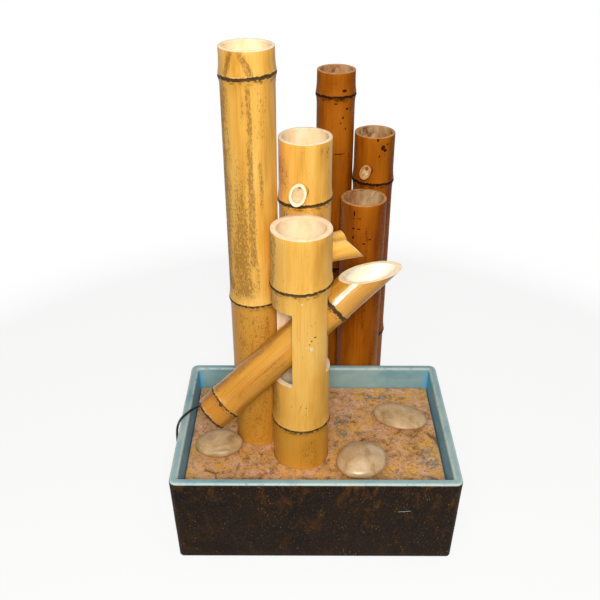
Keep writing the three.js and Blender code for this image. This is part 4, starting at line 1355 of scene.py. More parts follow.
@dataclass
class Rocker:
    """The culm that tips, and the pin that it turns on."""

    bamboo: Bamboo
    shape: CulmShape = CulmShape(0.025, 0.005, -0.166, 0.187, (-0.139, 0.057), 0.0018, 4.4,
                                 tilts=(0.0, 0.0), weights=(0.5, 1.6))
    tilt: float = 38.0
    tip: float = 0.162
    top_start: float = 0.0865
    # A painted shadow line round the tail's end, laid on like a node's scar.
    tail_shadow_line: Ring = Ring(-0.1648, weight=1.1)
    pin_radius: float = 0.003
    pin_half: float = 0.0403
    # The two bands from -0.17 to 0.05, at 172 and -62 degrees, are painted shade along the rocker's
    # upper and lower edges.
    stains_and_shade: tuple[StainOrShade, ...] = (
        StainOrShade(-100, 22, -0.128, -0.03, 0.35), StainOrShade(160, 20, 0.062, 0.16, 0.45),
        StainOrShade(-150, 14, 0.06, 0.1, 0.5), StainOrShade(172, 20, -0.17, 0.05, 0.8),
        StainOrShade(-62, 14, -0.17, 0.05, 0.5))
    marks: tuple[Mark, ...] = (Mark(-130, -0.1405, 0.003, 0.0026),)

    def upright(self) -> Matrix:
        """The pivot's place, turned to the rocker's heading."""
        return Matrix.Translation(PIVOT) @ turned(HEADING, Axis.Z)

    def build(self) -> Piece:
        """Makes the rocker.

        Returns:
            The piece.
        """
        placing = self.upright() @ turned(90 - self.tilt, Axis.Y)
        shape = self.shape
        # The node scars, and the painted shadow line round the tail's end.
        rings = [*shape.rings(), self.tail_shadow_line]
        materials = self.bamboo.slots("rocker", shape.radius, rings, self.stains_and_shade, self.marks)
        rocker = shape.solid("rocker", materials, placing)
        reach = 2 * shape.radius
        across = placing @ turned(90, Axis.X)
        cut_away(rocker, [
            *shape.hollow_cutters(materials, placing),
            drill(PIN_BORE, -reach, reach, materials, across, 40),
            slant(shape.radius, self.top_start, self.tip, materials, placing)])
        return dressed(rocker, "rocker", "rocker_bamboo", "rocker")

    def build_pin(self, finish: BambooCut) -> Piece:
        """Makes the pin, with its ends rounded."""
        radius, half = self.pin_radius, self.pin_half
        end = [(radius, half - 0.001), (radius * 0.92, half - 0.0004), (radius * 0.6, half),
               (0.0, half)]
        outline = [(across, -along) for across, along in reversed(end)] + end
        placing = self.upright() @ turned(90, Axis.X)
        pin = revolve("pivot_pin", plain(outline), 40, [finish.build()], placing)
        return dressed(pin, "frame", "cut_bamboo", "pivot_pin")


def rounded_outline(width: float, depth: float, corner: float, corner_steps: int,
                    side_steps: tuple[int, int]) -> list[tuple[float, float]]:
    """Works out a rectangle with round corners, from its right side on and anticlockwise.

    Args:
        width: Its size along X.
        depth: Its size along Y.
        corner: The radius of its corners.
        corner_steps: Steps in each corner.
        side_steps: Steps along the sides that run along X and along Y.

    Returns:
        Its points.
    """
    x, y = width / 2 - corner, depth / 2 - corner
    middles = ((x, y), (-x, y), (-x, -y), (x, -y))

    def on_corner(quarter: int, share: float) -> tuple[float, float]:
        """The point at a share of a corner's quarter turn."""
        mid_x, mid_y = middles[quarter % 4]
        angle = math.pi / 2 * (quarter + share)
        return mid_x + corner * math.cos(angle), mid_y + corner * math.sin(angle)

    points = []
    for quarter in range(4):
        points += [on_corner(quarter, step / corner_steps) for step in range(corner_steps + 1)]
        start, end = Vector(points[-1]), Vector(on_corner(quarter + 1, 0.0))
        steps = side_steps[quarter % 2]
        points += [tuple(start.lerp(end, step / steps)) for step in range(1, steps)]
    return points


@dataclass(frozen=True)
class Basin:
    """The glazed basin: drawn in towards its foot, with a round rim."""

    width: float = 0.400
    depth: float = 0.275
    height: float = 0.146
    draw_in: float = 0.0045
    wall: float = 0.012
    floor: float = 0.012
    corner: float = 0.011
    rim: float = 0.004
    chamfer: float = 0.0025
    cove: float = 0.006
    wavy: float = 0.0022
    waves: float = 22.0
    outer_rim: tuple[float, ...] = (0.0, 0.15, 1.0, 0.5, 0.05)
    inner_rim: tuple[float, ...] = (0.05, 0.5, 0.8, 0.2, 0.0)

    def drawn(self, height: float) -> float:
        """How far the wall stands in at a height."""
        return self.draw_in * (1 - height / self.height)

    def sections(self) -> list[tuple[float, float, float, int]]:
        """Works out the basin's rings, from the foot over the rim to the floor.

        Returns:
            Inset, height, bareness of the arris and material of each ring.
        """
        foot, rim_middle = self.chamfer, self.height - self.rim
        rows = [(self.drawn(0) + foot, 0.0, 0.0, 0),
                (self.drawn(0) + foot * 0.3, foot * 0.3, 0.3, 0), (self.drawn(foot), foot, 0.0, 0)]
        outer_rows, inner_rows = 11, 7
        for row in range(1, outer_rows):
            height = foot + (rim_middle - foot) * row / outer_rows
            rows.append((self.drawn(height), height, 0.0, 0))
        quarter = [math.pi / 2 * step / 4 for step in range(5)]
        for angle, bare in zip(quarter, self.outer_rim):
            inset = self.rim * (1 - math.cos(angle))
            height = rim_middle + self.rim * math.sin(angle)
            rows.append((inset, height, bare, 0 if angle == 0 else 1))
        for step, (angle, bare) in enumerate(zip(quarter, self.inner_rim)):
            inset = self.wall - self.rim * (1 - math.sin(angle)) + self.drawn(rim_middle) * step / 4
            rows.append((inset, rim_middle + self.rim * math.cos(angle), bare, 1))
        for row in range(1, inner_rows):
            height = rim_middle + (self.floor + self.cove - rim_middle) * row / inner_rows
            rows.append((self.wall + self.drawn(height), height, 0.0, 1))
        for angle in quarter:
            inset = self.wall + self.drawn(self.floor) + self.cove * (1 - math.cos(angle))
            rows.append((inset, self.floor + self.cove * (1 - math.sin(angle)), 0.0, 1))
        return rows

    def build(self, outside: GlazeOutside, inside: GlazeInside) -> Piece:
        """Makes the basin.

        Args:
            outside: The finish of its outside.
            inside: The finish of its inside and rim.

        Returns:
            The piece.
        """
        vertices, bareness, rings, surfaces, faces = [], [], [], [], []
        for inset, height, bare, surface in self.sections():
            corner = max(self.corner - inset, self.rim)
            width, depth = self.width - 2 * inset, self.depth - 2 * inset
            outline = rounded_outline(width, depth, corner, 8, (34, 24))
            rings.append((len(vertices), surface))
            for x, y in outline:
                place = Vector((x * self.waves, y * self.waves, height * self.waves))
                wave = noise.noise(place) * 0.5 + 0.5
                shrink = 1 - self.wavy * wave if height > self.chamfer / 2 else 1.0
                vertices.append((x * shrink, y * shrink, height))
                bareness.append(bare)
        count = len(outline)
        for (low, surface), (high, _) in zip(rings, rings[1:]):
            for i in range(count):
                after = (i + 1) % count
                faces.append([low + i, low + after, high + after, high + i])
                surfaces.append(surface)
        faces += [list(range(count)), list(range(rings[-1][0], rings[-1][0] + count))]
        surfaces += [0, 1]
        materials = [outside.build(), inside.build()]
        basin = new_piece("glazed_basin", vertices, faces, materials, surfaces, 50)
        stored(basin, "arris", bareness)
        return dressed(basin, "frame", "basin_glaze", "glazed_basin")


@dataclass(frozen=True)
class Slab:
    """The split stone that fills the basin's opening."""

    width: float = 0.36997
    depth: float = 0.24497
    corner: float = 0.005
    cell: float = 0.003
    relief: float = 0.0019
    terraces: float = 3.4
    riser: float = 0.28
    flat: float = 0.014
    posts: tuple[tuple[str, float], ...] = (
        ("pivot_post", 0.0401), ("tall_post", 0.0341), ("feed_post", 0.0358))
    lead_hole: float = 0.0051
    seats: tuple[str, ...] = ("pebble_left", "pebble_rear", "pebble_front")

    def hollow(self, x: float, y: float, seats: Sequence[Vector]) -> float:
        """How deep the split surface lies at a point, as a share of the relief.

        Args:
            x: Across the slab.
            y: Along it.
            seats: Where the pebbles lie, on flat spots.

        Returns:
            The share, between 0 and 1.
        """
        swell = noise.fractal(Vector((x * 30, y * 30, 0.3)), 1.0, 2.0, 4)
        level = (swell + 1.0) * self.terraces
        whole = math.floor(level)
        climb = clamp((level - whole - 1 + self.riser) / self.riser)
        rough = noise.fractal(Vector((x * 160, y * 160, 2.0)), 0.8, 2.0, 3) * 0.09
        seam = max(0.0, 1 - abs(noise.noise(Vector((x * 34, y * 52, 9.0)))) * 16) * 0.34
        depth = 0.9 - (whole + climb) / (2 * self.terraces) + rough + seam
        for seat in seats:
            away = math.hypot(x - seat.x, y - seat.y)
            depth *= clamp((away - self.flat) / self.flat)
        return clamp(depth)

    def holes(self) -> list[tuple[float, float, float]]:
        """The place and radius of each hole."""
        holes = [(*LEAD_EXIT[:2], self.lead_hole)]
        for node, radius in self.posts:
            centre = middle(node)
            holes.append((centre.x, centre.y, radius))
        return holes

    def plan(self, x: float, y: float) -> tuple[float, float, float]:
        """Pulls a grid point in at the round corners."""
        over_x = abs(x) - (self.width / 2 - self.corner)
        over_y = abs(y) - (self.depth / 2 - self.corner)
        worn = max(0.0, 1 + max(over_x - self.corner, over_y - self.corner) / 0.0035) * 0.5
        if over_x > 0 and over_y > 0:
            pull = max(over_x, over_y) / math.hypot(over_x, over_y)
            x = math.copysign(self.width / 2 - self.corner + over_x * pull, x)
            y = math.copysign(self.depth / 2 - self.corner + over_y * pull, y)
        return x, y, worn

    def cells(self, points: Sequence[Sequence[float]], across: int,
              holes: Sequence[tuple[float, float, float]]) -> list[list[int]]:
        """The grid's cells outside the holes."""
        inside = [any(math.hypot(x - hole_x, y - hole_y) < radius
                      for hole_x, hole_y, radius in holes) for x, y, _ in points]
        cells = []
        for corner in range(len(points) - across):
            cell = [corner, corner + 1, corner + across + 1, corner + across]
            if (corner + 1) % across and not any(inside[point] for point in cell):
                cells.append(cell)
        return cells

    def fit(self, points: Sequence[list[float]], border: Sequence[tuple[int, int]],
            holes: Sequence[tuple[float, float, float]]) -> None:
        """Moves the points next to a hole onto its edge."""
        for point, _ in border:
            x, y, _ = points[point]
            for hole_x, hole_y, radius in holes:
                away = math.hypot(x - hole_x, y - hole_y)
                if away < radius + 1.5 * self.cell:
                    points[point][0] = hole_x + (x - hole_x) * radius / away
                    points[point][1] = hole_y + (y - hole_y) * radius / away

    def build(self, finish: SlabStone) -> Piece:
        """Makes the slab from a grid whose cells end on the round holes.

        Args:
            finish: Its finish.

        Returns:
            The piece.
        """
        columns, rows = round(self.width / self.cell), round(self.depth / self.cell)
        points = [list(self.plan(self.width * (column / columns - 0.5),
                                 self.depth * (row / rows - 0.5)))
                  for row in range(rows + 1) for column in range(columns + 1)]
        holes = self.holes()
        cells = self.cells(points, columns + 1, holes)
        edges = {(cell[i], cell[(i + 1) % 4]) for cell in cells for i in range(4)}
        border = sorted((start, end) for start, end in edges if (end, start) not in edges)
        self.fit(points, border, holes)
        seats = [middle(seat) for seat in self.seats]
        depths = [self.hollow(x, y, seats) for x, y, _ in points]
        vertices = [(x, y, SLAB_TOP - self.relief * min(1.0, depth + worn))
                    for (x, y, worn), depth in zip(points, depths)]
        count = len(vertices)
        vertices += [(x, y, SLAB_BOTTOM) for x, y, _ in points]
        faces = cells + [[point + count for point in reversed(cell)] for cell in cells]
        faces += [[end, start, start + count, end + count] for start, end in border]
        slab = new_piece("stone_slab", vertices, faces, [finish.build()], sharp=60)
        # How much painted shade each point of the top gets, from how deep its hollow is.
        shown = [max(0.0, depth - 0.62) * 1.6 for depth in depths]
        stored(slab, "hollow", shown + [0.0] * count)
        work = bmesh.new()
        work.from_mesh(slab.data)
        loose = [vertex for vertex in work.verts if not vertex.link_faces]
        bmesh.ops.delete(work, geom=loose, context="VERTS")
        work.to_mesh(slab.data)
        work.free()
        return dressed(slab, "frame", "slab_stone", "stone_slab")


@dataclass(frozen=True)
class Pebble:
    """A loose pebble: a lumpy squashed ball with its belly low."""

    node: str
    length: float
    breadth: float
    height: float
    turn: float
    seed: float
    belly: float = 0.45
    lumps: float = 0.075
    dents: float = 0.022

    def shaped(self, way: Vector) -> Vector:
        """Moves a point of a ball of radius 1."""
        belly = self.height * self.belly
        lump = noise.noise(way * 1.3 + Vector((self.seed, 0, 0))) * 0.5 + 0.5
        dent = noise.noise(way * 3.4 + Vector((0, self.seed, 0))) * 0.5 + 0.5
        size = 1 - self.lumps * lump - self.dents * dent
        up = way.z * (size if way.z > 0 else 1.0)
        z = belly + up * (self.height - belly if up > 0 else belly)
        return Vector((way.x * self.length / 2 * size, way.y * self.breadth / 2 * size, z))

    def build(self, finish: PebbleStone) -> Piece:
        """Makes the pebble where its node lies.

        Args:
            finish: Its finish.

        Returns:
            The piece.
        """
        work = bmesh.new()
        bmesh.ops.create_icosphere(work, subdivisions=5, radius=1.0)
        for vertex in work.verts:
            vertex.co = self.shaped(vertex.co.normalized())
        mesh = bpy.data.meshes.new(self.node)
        work.to_mesh(mesh)
        work.free()
        mesh.materials.append(finish.build())
        mesh.shade_smooth()
        pebble = linked(self.node, mesh)
        centre, low = middle(self.node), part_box(self.node)[0]
        place = Matrix.Translation((centre.x, centre.y, low.z))
        pebble.matrix_world = place @ turned(self.turn, Axis.Z)
        return dressed(pebble, "frame", "pebble_stone", self.node)


@dataclass(frozen=True)
class Lead:
    """The free lead: over the rim, down the wall, along the ground, round its coil to the plug."""

    diameter: float = 0.0036
    length: float = 1.292
    coil_x: float = -0.135
    coil_y: float = 0.196
    coil_low: float = 0.003
    coil_outer: float = 0.02775
    pitch: float = 0.0041
    turns: float = 6.0
    steps: int = 24
    start_turn: float = 0.75
    climb_start: float = 2.75
    climb_turns: float = 0.5
    route: tuple[Point, ...] = (
        LEAD_EXIT, (-0.158, 0.044, 0.12), (-0.1602, 0.0422, 0.128), (-0.1648, 0.0382, 0.1366),
        (-0.171, 0.0322, 0.1436), (-0.1784, 0.0246, 0.1478), (-0.186, 0.0156, 0.1492),
        (-0.191, 0.0088, 0.1491), (-0.1955, 0.0024, 0.1488), (-0.1993, -0.0037, 0.1474),
        (-0.2024, -0.0087, 0.1434), (-0.2044, -0.012, 0.137), (-0.2053, -0.0136, 0.129),
        (-0.2056, -0.0142, 0.118), (-0.2056, -0.0143, 0.1), (-0.2055, -0.0143, 0.08),
        (-0.2053, -0.0143, 0.06), (-0.2051, -0.0142, 0.042), (-0.2049, -0.0124, 0.026),
        (-0.2047, -0.0068, 0.0124), (-0.2045, 0.0026, 0.0044), (-0.2043, 0.014, 0.0022),
        (-0.204, 0.03, 0.0021), (-0.2036, 0.055, 0.0021), (-0.2032, 0.08, 0.0021),
        (-0.2026, 0.105, 0.0021), (-0.2004, 0.128, 0.0021), (-0.194, 0.147, 0.0021),
        (-0.182, 0.16, 0.0022), (-0.166, 0.167, 0.0027), (-0.15, 0.16825, 0.003))
    end_route: tuple[Point, ...] = (
        (-0.124, 0.1681, 0.00695), (-0.117, 0.1676, 0.0066), (-0.11, 0.167, 0.00625),
        (-0.104, 0.1668, 0.0061))
    tie_place: Point = (-0.1566, 0.196, 0.00505)
    tie_inner: tuple[float, float] = (0.01865, 0.0084)
    tie_thickness: float = 0.0008
    tie_width: float = 0.006
    tie_edge: float = 0.0003
    plug_place: Point = (-0.10365, 0.1668, 0.0061)
    barrel_x: float = -0.0693

    def coil(self) -> list[Point]:
        """Works out the coil, in over one layer and out over the next.

        Returns:
            Its points.
        """
        points = []
        for step in range(round(self.turns * self.steps) + 1):
            turn = step / self.steps
            inwards = self.turns / 2 - abs(turn - self.turns / 2)
            radius = self.coil_outer - self.pitch * inwards
            climb = clamp((turn - self.climb_start) / self.climb_turns)
            angle = math.tau * (turn + self.start_turn)
            points.append((self.coil_x + radius * math.cos(angle),
                           self.coil_y + radius * math.sin(angle),
                           self.coil_low + self.pitch * climb))
        return points

    def build_line(self, finish: Moulded) -> Piece:
        """Makes the lead itself, as one curve.

        Args:
            finish: Its finish.

        Returns:
            The curve.
        """
        coil = self.coil()
        lead_in = (coil[0][0] - self.diameter, *coil[0][1:])
        lead_out = (coil[-1][0] + self.diameter, *coil[-1][1:])
        points = [*self.route, lead_in, *coil, lead_out, *self.end_route]
        curve = bpy.data.curves.new("power_lead", "CURVE")
        curve.dimensions = "3D"
        curve.bevel_depth = self.diameter / 2
        curve.bevel_resolution = 3
        curve.resolution_u = 5
        curve.use_fill_caps = True
        spline = curve.splines.new("BEZIER")
        spline.bezier_points.add(len(points) - 1)
        for bezier, point in zip(spline.bezier_points, points):
            bezier.co = point
            bezier.handle_left_type = bezier.handle_right_type = "AUTO"
        curve.materials.append(finish.build())
        line = linked("power_lead", curve)
        return dressed(line, "frame", "lead_jacket", "power_lead", "lead_coil", "lead_end")

    def build_tie(self, finish: Moulded) -> Piece:
        """Makes the flat band round both layers of the coil.

        Args:
            finish: Its finish.

        Returns:
            The piece.
        """
        width, rise = self.tie_inner
        wall, half = self.tie_thickness, self.tie_width / 2
        vertices: list[Point] = []
        half_section = ((wall, half - self.tie_edge), (wall * 0.85, half), (0.0, half))
        section = [(grow, -y) for grow, y in half_section] + list(reversed(half_section))
        for grow, y in section:
            corner = wall + grow
            outline = rounded_outline(width + 2 * grow, rise + 2 * grow, corner, 6, (4, 2))
            vertices += [(x, y, z) for x, z in outline]
        count = len(outline)
        faces = []
        for ring in range(len(section)):
            low, high = ring * count, (ring + 1) % len(section) * count
            for i in range(count):
                after = (i + 1) % count
                faces.append([low + i, low + after, high + after, high + i])
        placing = Matrix.Translation(self.tie_place)
        tie = new_piece("coil_tie", vertices, faces, [finish.build()], placing=placing)
        return dressed(tie, "frame", "black_rubber", "coil_tie")

    def build_grip(self, finish: Moulded) -> Piece:
        """Makes the plug's ribbed taper and its round grip with finger grooves.

        Args:
            finish: Its finish.

        Returns:
            The piece.
        """
        neck, grip, grooved, length = 0.0021, 0.0058, 0.00545, 0.034
        outline = [(0.0, 0.0), (0.0024, 0.0), (0.0029, 0.0005)]
        for rib in range(3):
            start = 0.00433 * rib
            outline += [(0.0029 + 0.0001 * rib, start + 0.0022), (0.0026, start + 0.0027),
                        (neck, start + 0.0028), (neck, start + 0.0041), (0.0027, start + 0.0043)]
        outline += [(0.0044, 0.0132), (0.0052, 0.0137), (grip, 0.0148)]
        for groove in range(5):
            start = 0.0185 + 0.0022 * groove
            outline += [(grip, start), (grooved, start + 0.0004), (grooved, start + 0.0009),
                        (grip, start + 0.0013)]
        outline += [(grip, length - EDGE), (0.0055, length - EDGE / 4), (0.005, length),
                    (0.0, length)]
        placing = Matrix.Translation(self.plug_place) @ turned(90, Axis.Y)
        grip_piece = revolve("plug_grip", plain(outline), 40, [finish.build()], placing)
        return dressed(grip_piece, "frame", "black_rubber", "plug_grip")

    def build_barrel(self, finish: Metal) -> Piece:
        """Makes the plug's metal barrel, with its groove and its bore.

        Args:
            finish: Its finish.

        Returns:
            The piece.
        """
        outer, bore, length = 0.00275, 0.0011, 0.0095
        groove = outer - 0.00012
        outline = [(bore, 0.0), (outer, 0.0), (outer, length * 0.28), (groove, length * 0.3),
                   (groove, length * 0.34), (outer, length * 0.36), (outer, length - 0.0005),
                   (outer - 0.0004, length), (bore + 0.0003, length), (bore, length - 0.0003)]
        place = Matrix.Translation((self.barrel_x, *self.plug_place[1:]))
        barrel = revolve("plug_barrel", plain(outline), 40, [finish.build()],
                         place @ turned(90, Axis.Y), closed=True)
        return dressed(barrel, "frame", "plug_metal", "plug_barrel")

    def build(self, jacket: Moulded, rubber: Moulded, metal: Metal) -> None:
        line = self.build_line(jacket)
        others = [self.build_tie(rubber), self.build_grip(rubber), self.build_barrel(metal)]


@dataclass(frozen=True)
class Grommet:
    """The rubber bush where the lead leaves the slab."""

    radius: float = 0.006
    neck: float = 0.00475
    bore: float = 0.00215
    lip: float = 0.0025

    def build(self, finish: Moulded) -> Piece:
        """Makes the bush, with rounded lips.

        Args:
            finish: Its finish.

        Returns:
            The piece.
        """
        low, high = SLAB_BOTTOM - self.lip, SLAB_TOP + self.lip
        half = [(self.bore, high - 0.0006), (self.bore + 0.0006, high),
                (self.radius - 0.0012, high), (self.radius - 0.0003, high - 0.0004),
                (self.radius, high - 0.0012), (self.radius, SLAB_TOP + FIT),
                (self.neck, SLAB_TOP + FIT)]
        under = [(across, low + high - height) for across, height in reversed(half)]
        placing = Matrix.Translation((*LEAD_EXIT[:2], 0.0))
        profile = plain(half + under)
        bush = revolve("slab_grommet", profile, 48, [finish.build()], placing, closed=True)
        return dressed(bush, "frame", "black_rubber", "slab_grommet")


@dataclass(frozen=True)
class Carried:
    """CAD nodes that keep their shape and get a finish."""

    finish: Moulded | SlabStone | BambooCut
    nodes: tuple[str, ...]

    def dress(self) -> None:
        """Puts the finish on the nodes."""
        material = self.finish.build()
        for node in self.nodes:
            shape = bpy.data.objects[node] if node in bpy.data.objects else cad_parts[node]
            shape.data.materials.clear()
            shape.data.materials.append(material)
            log.info("%s keeps its shape", node)


def seen_directly(tree: bpy.types.NodeTree) -> Socket:
    """Tells what the camera sees, also in mirrors and through glass, from what only gives light.

    Args:
        tree: The nodes that it is added to.

    Returns:
        1 for what is seen and 0 for the rest.
    """
    path = tree.nodes.new("ShaderNodeLightPath")
    seen = path.outputs["Is Camera Ray"]
    for name in ("Is Glossy Ray", "Is Transmission Ray"):
        either = tree.nodes.new("ShaderNodeMath")
        either.operation = "MAXIMUM"
        tree.links.new(seen, either.inputs[0])
        tree.links.new(path.outputs[name], either.inputs[1])
        seen = either.outputs[0]
    return seen


@dataclass(frozen=True)
class Lamp:
    """A soft area light that looks at a point."""

    name: str
    place: Point
    target: Point
    size: float
    power: float
    colour: Colour = (255, 255, 255)

    def build(self) -> None:
        """Makes the light."""
        data = bpy.data.lights.new(self.name, "AREA")
        data.shape = "DISK"
        data.size = self.size
        data.energy = self.power
        data.color = linear(self.colour)[:3]
        lamp = linked(self.name, data)
        lamp.location = self.place
        way = Vector(self.target) - Vector(self.place)
        lamp.rotation_euler = way.to_track_quat("-Z", "Y").to_euler()


@dataclass(frozen=True)
class Studio:
    """The camera, the lights, the white floor and the surroundings."""

    lens: float = 46.33
    sensor: float = 36.0
    place: Point = (-0.01864, -0.89713, 0.8937)
    pitch: float = 58.91
    roll: float = 0.21
    lamps: tuple[Lamp, ...] = (
        Lamp("key", (0.02, -1.35, 1.25), (0.0, 0.0, 0.28), 0.42, 21.0, (255, 251, 244)),
        Lamp("accent", (-0.36, -1.12, 1.38), (0.06, 0.0, 0.36), 0.28, 3.6),
        Lamp("top", (0.1, 0.0, 2.0), (0.0, 0.0, 0.2), 1.2, 5.5))
    ambient: float = 0.168
    floor_half: float = 6.0
    floor_light: float = 0.28
    plain_share: float = 0.85
    plain_from: tuple[float, float] = (0.15, 1.0)

    def build_camera(self) -> None:
        """Makes the camera that took the photograph."""
        data = bpy.data.cameras.new("camera")
        data.lens = self.lens
        data.sensor_width = self.sensor
        data.dof.use_dof = False
        camera = linked("camera", data)
        camera.location = self.place
        camera.rotation_euler = (math.radians(self.pitch), 0.0, math.radians(self.roll))
        bpy.context.scene.camera = camera

    def build_floor(self, low: float) -> None:
        """Makes the floor: it takes the object's shadow, and is plain white further off.

        Args:
            low: Its height.
        """
        graph = Graph("floor_white")
        tone = graph.noise(3)
        seen = seen_directly(graph.tree)
        colour = graph.mix(seen, grey(self.floor_light), graph.mix(tone, grey(0.94), grey(0.97)))
        rough = graph.plus(graph.times(tone, 0.1), 0.8)
        material = graph.finish(colour, rough, Specular_IOR_Level=0.0)
        distance = graph.add("ShaderNodeVectorMath", {0: graph.place()}, operation="LENGTH")
        away = graph.step(distance.outputs["Value"], *self.plain_from)
        own = graph.times(seen, graph.math(Sum.LARGEST, away, self.plain_share))
        glow = graph.add("ShaderNodeEmission", {"Color": grey(1.0), "Strength": 1.0})
        parts = {0: own, 1: graph.shader.outputs[0], 2: glow.outputs[0]}
        blend = graph.add("ShaderNodeMixShader", parts)
        graph.feed(graph.output.inputs[0], blend.outputs[0])
        half = self.floor_half
        corners = [(-half, -half, low), (half, -half, low), (half, half, low), (-half, half, low)]
        floor = new_piece("floor", corners, [[0, 1, 2, 3]], [material])

    def build_world(self) -> None:
        """Makes the white surroundings: bright to the eye and in mirrors, softer as light."""
        world = bpy.data.worlds.new("surroundings")
        world.use_nodes = True
        tree = world.node_tree
        tree.nodes.clear()
        background = tree.nodes.new("ShaderNodeBackground")
        output = tree.nodes.new("ShaderNodeOutputWorld")
        background.inputs["Color"].default_value = grey(1.0)
        strength = tree.nodes.new("ShaderNodeMapRange")
        strength.inputs["To Min"].default_value = self.ambient
        strength.inputs["To Max"].default_value = 1.0
        tree.links.new(seen_directly(tree), strength.inputs["Value"])
        tree.links.new(strength.outputs[0], background.inputs["Strength"])
        tree.links.new(background.outputs[0], output.inputs[0])
        bpy.context.scene.world = world
        bpy.context.scene.view_settings.view_transform = "Standard"

    def build(self, low: float) -> None:
        """Makes the whole studio."""
        self.build_camera()
        self.build_floor(low)
        self.build_world()
        for lamp in self.lamps:
            lamp.build()


LIGHT_SKIN = BambooSkin(
    "light_skin", pale=(250, 204, 112), base=(238, 180, 80), deep=(208, 144, 44),
    brown=(122, 80, 26), scar=(40, 26, 10), ridge=(252, 224, 160), mottle=0.22, specks=0.45,
    roughness=0.34, shine=0.2, foot=0.7, seed=1.0)
LIGHT_INSIDE = BambooInside("light_inside", (255, 234, 200), (250, 220, 170), (200, 146, 88), 0.18)
LIGHT_CUT = BambooCut("light_cut", (255, 235, 204), (250, 218, 172), (196, 144, 88))
# A darker copy of the light inside, for the feed post's spouts: partly the web's own tone and partly
# painted shade in their mouths.
SPOUT_INSIDE_SHADED = BambooInside("spout_inside_shaded", (230, 202, 156), (208, 172, 122), (150, 108, 64), 0.3)
ROCKER_SKIN = BambooSkin(
    "rocker_skin", pale=(234, 178, 78), base=(214, 150, 50), deep=(184, 116, 28),
    brown=(116, 66, 14), scar=(34, 18, 8), ridge=(246, 210, 146), mottle=0.2, specks=0.3,
    roughness=0.24, shine=0.3, coat=1.0, polished=(0.058, 0.2), foot=0.6, seed=4.0)
ROCKER_INSIDE = BambooInside(
    "rocker_inside", (255, 252, 240), (254, 240, 208), (206, 158, 96), 0.08)
ROCKER_CUT = BambooCut("rocker_cut", (255, 240, 206), (250, 222, 172), (204, 158, 98))
PIN_CUT = BambooCut("pin_wood", (246, 226, 184), (228, 198, 150), (170, 126, 76))
DARK_SKIN = BambooSkin(
    "dark_skin", pale=(190, 112, 24), base=(168, 92, 13), deep=(132, 62, 8), brown=(84, 32, 5),
    scar=(16, 9, 7), ridge=(160, 104, 56), mottle=0.2, specks=0.6, roughness=0.4, shine=0.05,
    seed=8.0)
DARK_INSIDE = BambooInside(
    "dark_inside", (218, 184, 136), (166, 112, 64), (88, 44, 16), 0.8, 6.0)
DARK_CUT = BambooCut("dark_cut", (206, 146, 84), (178, 114, 56), (112, 60, 24), seed=6.0)
RUBBER = Moulded("black_rubber", (24, 24, 25), (48, 47, 46), 0.55)


def pivot_post(light: Bamboo) -> PivotPost:
    """The post that carries the rocker, with the spout that fills it.

    Args:
        light: The light bamboo.

    Returns:
        The post.
    """
    spout = Spout("cup_spout", "pivot_post", start=0.028, reach=0.085, radius=0.013,
                  heading=HEADING, height=0.4355, tilt=43, bore=0.0091, web=0.0541)
    return PivotPost(
        "pivot_post",
        CulmShape(radius=0.0395, wall=0.0075, foot=POST_FOOT, top=0.4767, nodes=(0.1803, 0.4021),
                  seed=1.3, tilts=(0.0, 0.05), weights=(0.85, 1.1)),
        light, "light_bamboo", spouts=(spout,),
        # The band at -168 degrees is partly a brown stain and partly painted shade on the post's left
        # side.
        stains_and_shade=(StainOrShade(-99, 1.3, 0.206, 0.236, 0.8, 0.0, 14), StainOrShade(-168, 26, 0.19, 0.48, 0.7),
                StainOrShade(-70, 20, 0.1, 0.17, 0.3)),
        marks=(Mark(-88.5, 0.388, 0.0014, 0.0014, True), Mark(-70, 0.331, 0.0012, 0.0012),
               Mark(-63, 0.336, 0.0016, 0.0012), Mark(-74, 0.326, 0.001, 0.001),
               Mark(-80, 0.222, 0.0009, 0.0009)))


def tall_post(light: Bamboo) -> Post:
    """The tallest post.

    Args:
        light: The light bamboo.

    Returns:
        The post.
    """
    return Post(
        "tall_post",
        CulmShape(radius=0.0335, wall=0.0048, foot=POST_FOOT, top=0.6867, nodes=(0.3529, 0.6557),
                  seed=2.6, tilts=(0.0, 0.055), weights=(0.6, 1.15)),
        light, "light_bamboo",
        stains_and_shade=(StainOrShade(-86, 6, 0.4, 0.652, 1.0, 0.5), StainOrShade(-64, 5, 0.485, 0.56, 0.55),
                # The band at -162 degrees is partly brown mottling and partly painted shade on the
                # post's left edge.
                StainOrShade(-100, 4, 0.6, 0.642, 0.35), StainOrShade(-162, 24, 0.36, 0.652, 1.0, 0.3),
                StainOrShade(-112, 9, 0.355, 0.6, 1.0, 2.2, 0.0, 0.14), StainOrShade(-78, 6, 0.36, 0.42, 0.5),
                StainOrShade(-95, 44, 0.1, 0.346, 0.3), StainOrShade(-60, 8, 0.2, 0.34, 0.5),
                StainOrShade(-142, 7, 0.645, 0.69, 1.0, 0.0, 24),
                StainOrShade(-66, 8, 0.645, 0.69, 1.0, 0.0, -38)))


